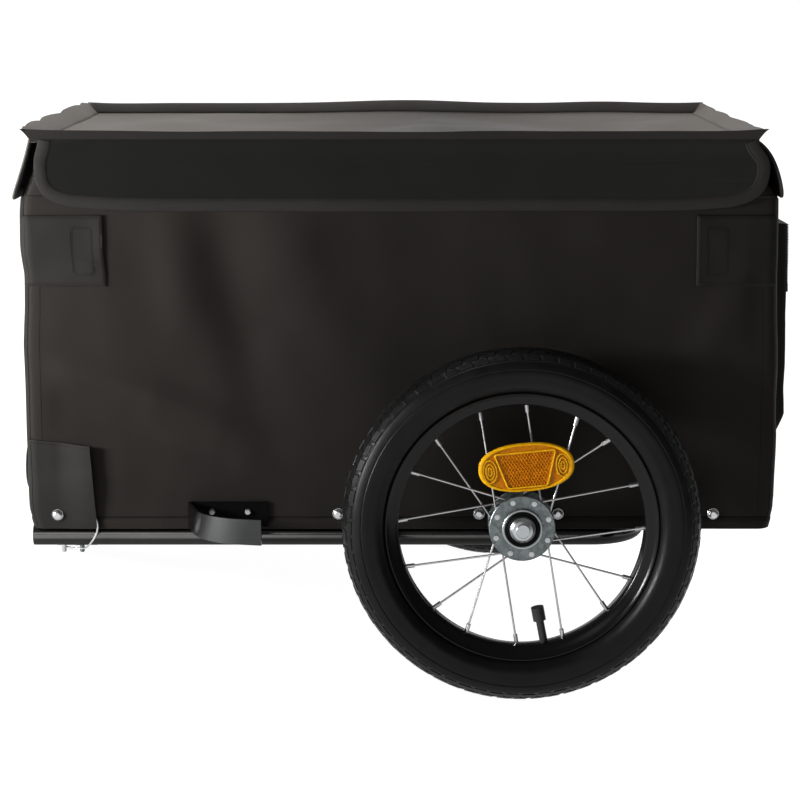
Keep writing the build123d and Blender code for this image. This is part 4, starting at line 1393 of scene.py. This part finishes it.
def skirt(name, surf, xl, xr, drop, rise, node, wide=12.4, cloth=M_PANEL, binding=M_BIND):
    """A stiffened flap with a dark inner panel and a bound edge round three sides; xl and xr give
    its two ends at a depth b, and rise its corners' height above the bottom at a distance in."""
    tall = rise[0, 1]

    # outline: down one end, along, and up the other
    down = np.linspace(0.3, drop - tall, 14)
    left = np.stack([xl(down), down], 1)
    right = np.stack([xr(down), down], 1)[::-1]
    cl = np.stack([xl(drop) + rise[1:, 0], drop - rise[1:, 1]], 1)
    cr = np.stack([xr(drop) - rise[1:, 0], drop - rise[1:, 1]], 1)[::-1]
    outline = np.vstack([left, cl, cr, right])
    outline = resample(outline, 1.5)
    for _ in range(6):
        outline[1:-1] = 0.25 * outline[:-2] + 0.5 * outline[1:-1] + 0.25 * outline[2:]
    outline = resample(outline, 3.0)
    tan = np.gradient(outline, axis=0)
    tan /= np.linalg.norm(tan, axis=1)[:, None]
    inward = -np.stack([-tan[:, 1], tan[:, 0]], 1)

    # panel: columns from the top edge to the outline, set 4 mm inside it
    inner = outline + inward * 4.0
    width = inner[:, 0].max() - inner[:, 0].min()
    low = inner[(inner[:, 0] > inner[:, 0].min() + 0.3) & (inner[:, 0] < inner[:, 0].max() - 0.3)]
    half = (inner[:, 0].max() + inner[:, 0].min()) / 2
    e = 1 - np.cos(np.linspace(0, np.pi / 2, 22))
    u = np.concatenate([0.16 * e, np.linspace(0.16, 0.84, 90)[1:-1], 1 - (0.16 * e)[::-1]])
    top_x0, top_x1 = float(xl(0.0)) + 4.0, float(xr(0.0)) - 4.0
    order = np.argsort(low[:, 0])
    bot_x = inner[:, 0].min() + width * u
    curve = np.interp(bot_x, low[order, 0], low[order, 1])
    # where the outline turns up the sides its lowest point is wanted
    lower = inner[inner[:, 1] > drop - tall * 0.98]
    order = np.argsort(lower[:, 0])
    curve = np.interp(bot_x, lower[order, 0], lower[order, 1])
    aa = np.arange(len(u), dtype=float)

    body = Build()

    def panel(a, t, n):
        i = np.clip(a, 0, len(u) - 1)
        bx = np.interp(i, aa, bot_x)
        dep = np.interp(i, aa, curve)
        ux = np.interp(i, aa, u)
        b = t * dep
        tuck = 1 - smooth(0.0, 22.0, b)
        x = bx + tuck * ((top_x0 + (top_x1 - top_x0) * ux) - bx)
        line1 = np.exp(-(((b - 25.0 - 1.8 * np.sin(x / 60.0) + 0.008 * x) / 1.1) ** 2))
        line2 = np.exp(-(((b - 43.0 - 1.2 * np.sin(x / 71.0)) / 1.0) ** 2))
        line3 = np.exp(-(((b - 10.0 - 1.4 * np.sin(x / 85.0)) / 1.0) ** 2))
        crease = -0.34 * line1 * smooth(-0.3, 0.2, noise(x / 90.0, 1.3, 131))
        crease = crease - 0.34 * line2 * smooth(-0.3, 0.2, noise(x / 80.0, 4.3, 132))
        crease = crease - 0.28 * line3 * smooth(-0.2, 0.3, noise(x / 100.0, 7.3, 133))
        return surf(x, b, n + crease)

    slab(body, panel, aa, np.linspace(0, 1, 40), 1.5, -0.75, roll=0.0)
    # metric UVs
    for block in body.uv[:2]:
        block[:, 0] = np.interp(block[:, 0], aa, bot_x)
        block[:, 1] = block[:, 1] * drop
    obj = body.piece(name + "_panel", cloth, "lid", "fabric_inner", 60)
    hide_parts(node)
    tape = Build()
    h = 1.5
    sec = [(0.2, -h * 0.7), (-0.3, 0.0), (0.2, h * 0.7), (1.2, h), (wide * 0.5, h * 1.1), (wide - 0.8, h * 0.98), (wide, h * 0.6), (wide, -h * 0.6), (wide - 0.8, -h * 0.98), (1.2, -h)]
    sweep(tape, surf, outline, sec, twist=-1.0)
    tp = tape.piece(name + "_binding", binding, "lid", "fabric_lid", 50)
    th = Build()
    stitches(th, surf, outline + inward * (wide - 1.7), h * 1.04, 3.0, 2.2, 0.30)
    tt = th.piece(name + "_thread", M_THREAD, "lid", "fabric_lid", 180)
    return obj, tp, tt


sk_left = skirt(
    "lid_skirt_left",
    left_skirt,
    lambda b: -354.6 + 5.2 * (1 - smooth(0.0, 22.0, b)),
    lambda b: 358.3 - 13.5 * (1 - smooth(0.0, 26.0, b)) ** 1.3,
    69.6,
    SIDE_RISE,
    "lid_skirt_left",
)
# the end skirts take lit copies of the panel fabric and, at the front, of the binding: painted light
sk_front = skirt("lid_skirt_front", front_skirt, lambda b: -229.5 + 0.0 * b, lambda b: 221.5 + 0.0 * b, 62.0, END_RISE, "lid_skirt_front", 12.4, M_PANEL_END_PAINTED_LIGHT, M_BIND_END_PAINTED_HIGHLIGHT)
sk_rear = skirt("lid_skirt_rear", rear_skirt, lambda b: -229.5 + 0.0 * b, lambda b: 221.5 + 0.0 * b, 66.0, END_RISE, "lid_skirt_rear", 12.4, M_PANEL_END_PAINTED_LIGHT, M_BIND)

# cloth hinge from the right wall's top to the lid
hinge_path = np.array([(226.9, 500.0), (227.4, 514.0), (229.0, 525.0), (231.4, 533.0), (232.4, 538.0), (232.2, 543.0), (233.6, 548.0)])


def hinge_surface(a, t, n):
    d = np.concatenate([[0], np.cumsum(np.linalg.norm(np.diff(hinge_path, axis=0), axis=1))])
    w = np.clip(t, 0, 1) * d[-1]
    y, z = np.interp(w, d, hinge_path[:, 0]), np.interp(w, d, hinge_path[:, 1])
    return np.stack([a + 0 * w, y + n + 0.3 * noise(a / 40.0, t * 3, 141), z], -1)


hb = Build()
slab(hb, hinge_surface, np.linspace(-336, 326, 90), np.linspace(0, 1, 26), 1.2, 0.2, roll=0.0)
hinge_strip = hb.piece("lid_hinge_strip", M_BIND, None, "fabric_lid", 60)
parked((-5.0, 231.0, 531.5))
parked((-5.0, 231.6, 541.5))
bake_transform(hinge_strip)


# ---------------------------------------------------------------- rear pocket
def pocket_surface(y, z, n):
    return wall(s_rear(y), z, n)


pk = Build()
PZ0, PZ1 = 244.0, 457.0
ends = np.array([189.0, 188.8, 188.4, 187.8, 187.0, 185.8, 184.0])
yy = np.concatenate([-ends, np.linspace(-181, 181, 84), ends[::-1]])
zz = np.concatenate([PZ0 + np.array([0, 0.5, 1.5, 3, 5, 7.5]), np.linspace(PZ0 + 10, PZ1 - 4, 56), PZ1 - np.array([2.4, 1.2, 0.5, 0.0])])


def pouch(y, z):
    """How far the stuffed pouch stands off the rear wall."""
    uu, vv = np.clip(np.abs(y) / 189.0, 0, 1), np.clip((z - PZ0) / (PZ1 - PZ0), 0, 1)
    full = (1 - uu**150) * np.minimum(1, ((z - PZ0).clip(0) / 20.0) ** 0.85) * (1 - 0.5 * np.clip((z - PZ1 + 1.6) / 1.6, 0, 1) ** 2)
    body = 10.4 + 1.7 * vv + 0.8 * fbm(y / 80.0, z / 70.0, 151, 3) + 0.2 * fbm(y / 20.0, z / 18.0, 153, 2)
    return 1.2 + body * np.clip(full, 0, 1)


Yg, Zg = np.meshgrid(yy, zz, indexing="ij")
thick = pouch(Yg, Zg)
front_pts = pocket_surface(Yg, Zg, thick)
back_pts = pocket_surface(Yg, Zg, np.full_like(thick, 0.35))
uvp = np.stack([Yg.ravel(), Zg.ravel()], 1)
m, q = Yg.shape
base = pk.count
pk.add(front_pts, grid_faces(m, q), uvp, 0)
pk.add(back_pts, grid_faces(m, q, flip=True), uvp, 0)
offp = m * q
ring = [(i, 0) for i in range(m)] + [(m - 1, j) for j in range(1, q)] + [(i, q - 1) for i in range(m - 2, -1, -1)] + [(0, j) for j in range(q - 2, 0, -1)]
for k in range(len(ring)):
    a = ring[k][0] * q + ring[k][1]
    b = ring[(k + 1) % len(ring)][0] * q + ring[(k + 1) % len(ring)][1]
    pk.f.append((a, a + offp, b + offp, b))
    pk.fm.append(0)
rear_pocket = pk.piece("rear_pocket_pouch", M_POCKET, "chassis", "fabric_dark", 70)
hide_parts("rear_pocket")


def pocket_face(y, z, n):
    """On top of the pouch."""
    y, z, n = np.broadcast_arrays(np.asarray(y, float), np.asarray(z, float), np.asarray(n, float))
    return wall(s_rear(y), z, pouch(y, z) + n)

pb = Build()
slab(pb, pocket_face, np.linspace(-186, 186, 96), np.linspace(389, 456, 24), 1.3, 0.2)
pocket_flap = pb.piece("rear_pocket_flap", M_PATCH, "chassis", "fabric_dark", 60)
tape = Build()
flap_line = resample(np.array([(-186.0, 455.4), (-186.0, 389.0), (186.0, 389.0), (186.0, 455.4)]), 3.0)
sweep(tape, pocket_face, flap_line, [(-1.2, 0.1), (-1.2, 1.4), (0, 1.8), (7.2, 1.8), (8, 1.5), (8, 1.3)], twist=1.0)
pocket_tape = tape.piece("rear_pocket_binding", M_BIND, "chassis", "fabric_lid", 50)
pt = Build()
stitches(pt, pocket_face, resample(np.array([(-181.0, 455.0), (-181.0, 394.0), (181.0, 394.0), (181.0, 455.0)]), 3.0), 2.15, 3.0, 2.1, 0.3)
pocket_thread = pt.piece("rear_pocket_thread", M_THREAD, "chassis", "fabric_dark", 180)


# ---------------------------------------------------------------- wheels
def wheel_place(side):
    sgn = -1.0 if side == "left" else 1.0

    def place(x, y, z):
        """x, z from the axle, y towards the wheel's outer side."""
        return np.stack([AXLE_X + x, sgn * (WHEEL_Y + y), AXLE_Z + z], -1)

    return place


SEC_R = 150.5
PITCHES = 66


def tyre(side):
    place = wheel_place(side)
    b = Build()
    prof = []
    tread_r, wall_r = 22.7, 23.4

    def section(phi):
        """Carcass radius about the section's centre."""
        a = abs(phi)
        r = tread_r + (wall_r - tread_r) * smooth(53, 57, a)
        r = r - 0.55 * math.exp(-(((a - 78.0) / 1.3) ** 2))
        r = r - 1.1 * float(smooth(108, 140, a))
        return r

    for phi in np.concatenate([np.arange(-144, -50, 2.0), np.arange(-50, 50, 5.0), np.arange(50, 145, 2.0)]):
        r, a = float(section(phi)), abs(phi)
        # the sidewall stays broad down to the rim
        full = 2.0 * float(smooth(94, 126, a)) * (1 - float(smooth(130, 150, a)))
        prof.append((SEC_R + r * math.cos(math.radians(phi)), r * math.sin(math.radians(phi)) + math.copysign(full, phi)))
    prof += [(131.2, 12.6), (132.4, 10.4), (137.0, 12.2), (150.0, 17.0), (166.0, 9.0), (168.5, 0.0), (166.0, -9.0), (150.0, -17.0), (137.0, -12.2), (132.4, -10.4), (131.2, -12.6)]
    lathe(b, prof, place, 200, closed_profile=True)
    # knobs
    def knob(theta, phi, half_t, half_p, top, skew=0.0, taper=0.82):
        rr = np.array([tread_r - 0.6, top - 0.35, top])
        scale = np.array([1.0, 0.93, taper])
        pts = []
        for r, k in zip(rr, scale):
            for st, sp in ((-1, -1), (1, -1), (1, 1), (-1, 1)):
                p = math.radians(phi + sp * half_p * k)
                rho = SEC_R + r * math.cos(p)
                t = theta + (st * half_t * k + skew * sp) / rho
                pts.append((rho * math.cos(t), r * math.sin(p), rho * math.sin(t)))
        pts = np.array(pts)
        v = place(pts[:, 0], pts[:, 1], pts[:, 2])
        f = []
        for lvl in range(2):
            for j in range(4):
                j1 = (j + 1) % 4
                f.append((lvl * 4 + j, lvl * 4 + j1, (lvl + 1) * 4 + j1, (lvl + 1) * 4 + j))
        f += [(8, 9, 10, 11), (3, 2, 1, 0)]
        b.add(v, f)

    for i in range(PITCHES):
        t0 = 2 * math.pi * i / PITCHES
        step = 2 * math.pi / PITCHES
        odd = i % 2
        knob(t0, 0.0 + (3.0 if odd else -3.0), 6.1, 9.0, 23.5, 0.0)
        for s in (-1, 1):
            knob(t0 + 0.5 * step, s * 25.0, 6.3, 8.6, 23.5, 0.9 * s)
            knob(t0 + (0.0 if s > 0 else 0.25) * step, s * (44.3 if odd else 43.2), 6.7, 9.2 if odd else 8.2, 23.4, -0.5 * s)
    obj = b.piece("tyre_tread_" + side, M_TYRE, "wheel_" + side, "tyre_rubber", 28)
    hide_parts("tyre_" + side)
    return obj


def hub_trim(side):
    place = wheel_place(side)
    b = Build()
    # dust seal with two ribs between the shell's rim and the axle's cap
    lathe(b, [(12.7, 19.2), (12.7, 20.2), (13.6, 20.7), (14.4, 20.2), (15.2, 20.2), (16.0, 20.6), (16.9, 20.1), (17.2, 19.2)], place, 64, closed_profile=True)
    b.piece("hub_seal_" + side, M_SEAL, "wheel_" + side, "rubber_black", 30)
    c = Build()
    lathe(c, [(17.3, 19.3), (17.3, 20.2), (17.8, 20.6), (19.0, 20.5), (19.5, 20.0), (19.6, 19.0), (19.2, 18.6)], place, 64, closed_profile=True)
    c.piece("hub_ring_" + side, M_RING, "wheel_" + side, "zinc", 30)


def rim_shell(side):
    """The rim: rolled edges against the tyre, flanks sloping in to a flat inner face."""
    place = wheel_place(side)
    b = Build()
    flank = [(131.6, 12.6), (132.2, 13.8), (132.2, 14.9), (131.6, 15.6), (130.7, 15.7), (129.8, 15.2), (129.0, 14.3), (127.9, 13.6), (125.0, 12.3), (122.4, 11.2), (120.6, 10.3), (119.5, 9.2), (119.1, 7.8)]
    prof = flank + [(r, -y) for r, y in flank[::-1]] + [(128.6, -6.0), (128.6, 6.0)]
    lathe(b, prof, place, 200, closed_profile=True)
    obj = b.piece("rim_shell_" + side, M_RIM, "wheel_" + side, "steel_black", 35)
    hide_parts("rim_" + side)


def reflector(side):
    """Oval wheel reflector: rimmed body, prismatic middle panel, ribbed end clips."""
    place = wheel_place(side)
    tilt = math.radians(5.5)
    c0 = np.array([3.5, 59.7])

    def at(p, q, h):
        """p along, q up, h outwards from the wheel's middle plane."""
        p, q, h = np.broadcast_arrays(p, q, h)
        x = c0[0] + p * math.cos(tilt) - q * math.sin(tilt)
        z = c0[1] + p * math.sin(tilt) + q * math.cos(tilt)
        return place(x, h + 11.3, z)

    b = Build()
    segs = 96
    ang = np.arange(segs) * 2 * math.pi / segs
    ex = 2.34
    ca, sa = np.cos(ang), np.sin(ang)
    ring_p = 46.0 * np.sign(ca) * np.abs(ca) ** (2 / ex)
    ring_q = 23.5 * np.sign(sa) * np.abs(sa) ** (2 / ex)
    prof = [(0.90, -1.0), (0.97, -0.8), (1.0, 0.0), (1.0, 3.2), (0.985, 4.3), (0.955, 4.9), (0.925, 4.8), (0.905, 4.0), (0.89, 3.4)]
    pts = np.stack([at(ring_p * k, ring_q * k, h) for k, h in prof], 1)
    k = len(prof)
    faces = []
    for i in range(segs):
        i1 = (i + 1) % segs
        for j in range(k - 1):
            faces.append((i * k + j, i1 * k + j, i1 * k + j + 1, i * k + j + 1))
    b.add(pts.reshape(-1, 3), faces, None, 0)
    for j, h, flip in ((k - 1, 3.4, False), (0, -1.0, True)):
        scale = prof[j][0]
        prev = np.array([i * k + j for i in range(segs)])
        for sc in (0.66, 0.36, 0.12):
            base = b.count
            b.add(at(ring_p * scale * sc, ring_q * scale * sc, h), [], None, 0)
            for i in range(segs):
                i1 = (i + 1) % segs
                b.f.append((int(prev[i]), int(prev[i1]), base + i1, base + i))
                b.fm.append(1 if j else 0)
            prev = np.array([base + i for i in range(segs)])
        b.f.append(tuple(int(p) for p in prev))
        b.fm.append(1 if j else 0)
    obj = b.piece("wheel_reflector_body_" + side, [M_AMBER_EDGE, M_AMBER], "wheel_" + side, "reflector_amber", 35)
    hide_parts("wheel_reflector_" + side)
    # middle panel: frame and prisms
    d = Build()
    outline = rounded(np.array([(-29.5, 15.0), (-19.0, -19.0), (19.0, -19.0), (29.5, 15.0)]), 3.0)
    sweep(d, at, outline, [(-0.8, 3.2), (-0.8, 4.7), (-0.3, 5.1), (0.5, 5.1), (0.9, 4.6), (0.9, 3.2)], closed=True, mat=0)
    step = 3.0
    for r in range(-8, 7):
        for col in range(-10, 11):
            p = col * step + (step / 2 if r % 2 else 0)
            q = (r + 0.5) * 2.65
            half = 19.0 + (q + 19.0) / 34.0 * 10.5 - 2.4
            if abs(p) > half - 0.6 or q > 13.2 or q < -17.4 or (p / 43.0) ** 2 + (q / 20.6) ** 2 > 1:
                continue
            w = step * 0.53
            hexa = [(p + w * math.cos(t), q + w * math.sin(t)) for t in np.radians(np.arange(30, 390, 60))]
            ps = np.array([h[0] for h in hexa] + [p])
            qs = np.array([h[1] for h in hexa] + [q])
            hs = np.array([3.3] * 6 + [4.4 + 0.35 * float(noise(p / 7.0, q / 5.0, 171))])
            v = at(ps, qs, hs)
            d.add(v, [(i, (i + 1) % 6, 6) for i in range(6)] + [(5, 4, 3, 2, 1, 0)], None, 1)
    # end clips
    for s in (-1, 1):
        for ra, rb in ((6.4, 11.0), (3.9, 7.4), (1.7, 4.0)):
            clip = [(s * 35.0 + ra * math.cos(t), -1.0 + rb * math.sin(t)) for t in np.linspace(0, 2 * math.pi, 30, endpoint=False)]
            sweep(d, at, np.array(clip), [(-0.8, 3.2), (-0.5, 4.8), (0.4, 4.8), (0.7, 3.2)], closed=True, mat=0)
        for r in range(-1, 2):
            q = -1.0 + r * 2.2
            w = 3.4 * math.sqrt(max(0.1, 1 - (r * 2.2 / 7.4) ** 2))
            rib = np.array([(s * 35.0 - w, q), (s * 35.0, q), (s * 35.0 + w, q)])
            sweep(d, at, rib, [(-0.5, 3.3), (-0.3, 4.2), (0.3, 4.2), (0.5, 3.3)], mat=0)
        # clip behind, round the spoke
        hook = rounded(np.array([(s * 35.0 - 4.5, -10.0), (s * 35.0 + 4.5, -10.0), (s * 35.0 + 4.5, 4.0), (s * 35.0 - 4.5, 4.0)]), 2.0)
        kk = len(hook)
        back = d.count
        d.add(at(hook[:, 0], hook[:, 1], -0.9), [], None, 0)
        d.add(at(hook[:, 0], hook[:, 1], -4.2), [], None, 0)
        d.f += [(back + j, back + (j + 1) % kk, back + kk + (j + 1) % kk, back + kk + j) for j in range(kk)]
        d.f += [tuple(back + kk + j for j in range(kk)), tuple(back + j for j in range(kk))[::-1]]
        d.fm += [0] * (kk + 2)
    d.piece("wheel_reflector_panel_" + side, [M_AMBER_EDGE, M_AMBER_CELL], "wheel_" + side, "reflector_amber", 25)


for side in ("left", "right"):
    tyre(side)
    rim_shell(side)
    hub_trim(side)
    reflector(side)


# ---------------------------------------------------------------- small round reflectors on the ends
def round_reflectors(end, x, out, material, slot):
    """Two round reflectors: a black cup screwed to the wall, a domed lens of prisms in it."""
    cup, lens_piece = Build(), Build()
    for y in (-172.0, 172.0):

        def place(px, py, pz, y=y):
            return np.stack([x + out * py, y + px, 210.0 + pz], 1)

        lathe(cup, [(0.0, 0.1), (23.6, 0.1), (24.5, 0.8), (24.5, 4.9), (24.0, 5.6), (22.8, 5.5), (22.2, 4.4), (21.9, 2.6), (0.0, 2.4)], place, 64)
        lathe(lens_piece, [(0.0, 4.6), (8.0, 4.5), (16.0, 4.2), (21.2, 3.6), (21.9, 3.0), (21.9, 2.4), (0.0, 2.3)], place, 64)
        for ring_r, num in ((0.0, 1), (4.0, 6), (8.0, 12), (12.0, 19), (16.0, 25), (19.4, 30)):
            for i in range(num):
                t = 2 * math.pi * i / num + ring_r
                w = 1.9
                around = np.radians(np.arange(0, 360, 60)) + t
                ps = np.append(ring_r * math.cos(t) + w * np.cos(around), ring_r * math.cos(t))
                qs = np.append(ring_r * math.sin(t) + w * np.sin(around), ring_r * math.sin(t))
                top_h = 5.2 - 0.9 * (ring_r / 20.0) ** 2
                hs = np.array([top_h - 0.9] * 6 + [top_h])
                lens_piece.add(place(ps, hs, qs), [(j, (j + 1) % 6, 6) for j in range(6)] + [(5, 4, 3, 2, 1, 0)], None, 0)
    cup_obj = cup.piece(end + "_reflector_cups", M_BLACK, "chassis", "rubber_black", 30)
    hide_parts(end + "_reflectors")
    lens_piece.piece(end + "_reflector_lenses", material, "chassis", slot, 30)


round_reflectors("front", -370.0, -1.0, M_WHITE_LENS, "reflector_white")
round_reflectors("rear", 370.0, 1.0, M_RED_LENS, "reflector_red")

# ---------------------------------------------------------------- wire ring of the lock pin
pts = [(-305.0, -228.6, 174.5), (-301.0, -229.2, 167.0), (-299.6, -229.2, 158.0), (-302.6, -228.4, 148.5), (-309.5, -225.5, 139.0), (-314.0, -219.0, 134.2), (-322.0, -213.0, 132.3), (-331.0, -210.5, 132.6), (-338.5, -209.0, 134.6)]
wire = bpy.data.curves.new("lock_pin_ring", "CURVE")
wire.dimensions = "3D"
wire.bevel_depth = 0.0009
wire.bevel_resolution = 4
wire.use_fill_caps = True
spline = wire.splines.new("NURBS")
spline.points.add(len(pts) - 1)
for p, c in zip(spline.points, pts):
    p.co = (*parked(c), 1.0)
spline.order_u = 3
spline.use_endpoint_u = True
spline.resolution_u = 8
wire.materials.append(M_CHROME)
ring_obj = bpy.data.objects.new("lock_pin_ring", wire)
bpy.context.scene.collection.objects.link(ring_obj)
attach(ring_obj, "chassis")


# ---------------------------------------------------------------- the drawbar's rubber joint
flex = Build()
lo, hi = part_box("hitch_flex")
FX, FZ = -325.0, 147.0
y0, y1 = 160.0, 198.5
prof = [(8.6, y0)]
for k in range(7):
    yc = y0 + 3.6 + k * 5.2
    prof += [(8.9, yc - 2.3), (9.5, yc - 1.4), (9.7, yc), (9.5, yc + 1.4), (8.9, yc + 2.3)]
prof += [(8.6, y1)]


def flex_place(x, y, z):
    return np.stack([FX + x, y, FZ + z], 1)


lathe(flex, prof, flex_place, 40)
flex_obj = flex.piece("hitch_flex_boot", M_RUBBER, "towbar", "rubber_black", 40)
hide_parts("hitch_flex")


# ---------------------------------------------------------------- studio
def stage_material():
    k = Mat("studio_floor", (0.30, 0.30, 0.30), 0.85, spec=0.05)
    k.colour(k.noise(0.6, 2.0), (0.29, 0.29, 0.29), (0.31, 0.31, 0.31))
    k.bump(k.noise(60.0, 2.0), 0.02, 0.0005)
    k.b.inputs["Emission Color"].default_value = (1.0, 1.0, 1.0, 1.0)
    k.b.inputs["Emission Strength"].default_value = 0.96
    return k.m


me = bpy.data.meshes.new("studio_floor")
e = 40.0
me.from_pydata([(-e, -e, 0), (e, -e, 0), (e, e, 0), (-e, e, 0)], [], [(0, 1, 2, 3)])
me.materials.append(stage_material())
floor = bpy.data.objects.new("studio_floor", me)
bpy.context.scene.collection.objects.link(floor)

world = bpy.data.worlds.new("studio")
world.use_nodes = True
bpy.context.scene.world = world
wn, wl = world.node_tree.nodes, world.node_tree.links
bg = wn["Background"]
coord = wn.new("ShaderNodeTexCoord")
dot = wn.new("ShaderNodeVectorMath")
dot.operation = "DOT_PRODUCT"
wl.new(coord.outputs["Generated"], dot.inputs[0])
dot.inputs[1].default_value = (0.0, 0.94, 0.34)
mp = wn.new("ShaderNodeMapRange")
mp.inputs["From Min"].default_value = 0.05
mp.inputs["From Max"].default_value = 0.70
mp.inputs["To Min"].default_value = 0.08
mp.inputs["To Max"].default_value = 1.05
wl.new(dot.outputs["Value"], mp.inputs["Value"])
bg.inputs["Color"].default_value = (1.0, 1.0, 1.0, 1.0)
wl.new(mp.outputs[0], bg.inputs["Strength"])


def softbox(name, at, aim, size_x, size_y, power, colour=(1, 1, 1)):
    d = bpy.data.lights.new(name, "AREA")
    d.shape = "RECTANGLE"
    d.size, d.size_y = size_x, size_y
    d.energy = power
    d.color = colour
    o = bpy.data.objects.new(name, d)
    bpy.context.scene.collection.objects.link(o)
    p = PARK @ Vector(at)
    q = PARK @ Vector(aim)
    o.matrix_world = Matrix.Translation(p) @ (q - p).to_track_quat("-Z", "Y").to_matrix().to_4x4()
    return o


softbox("key", (-1.25, -0.76, 0.24), (-0.1, -0.25, 0.25), 0.35, 0.70, 140.0)
softbox("over", (-0.45, 0.45, 1.9), (0.0, 0.0, 0.4), 1.2, 0.8, 24.0)
softbox("front", (-0.80, -3.2, 1.0), (-0.25, 0.0, 0.15), 1.15, 0.9, 5.0)
softbox("strip_right", (2.2, -1.2, 0.6), (0.1, -0.28, 0.2), 0.3, 1.0, 0.3)

view = bpy.context.scene.view_settings
view.view_transform = "Standard"
view.look = "None"
view.exposure = 0.0
view.gamma = 1.0

# ---------------------------------------------------------------- soft pieces with their flat sizes and fill; the loop only lists them
for pieces, flat, fill in ((sk_left, (0.705, 0.066), 0.93), (sk_front, (0.443, 0.058), 0.98), (sk_rear, (0.443, 0.062), 0.98)):
    list(pieces[1:])
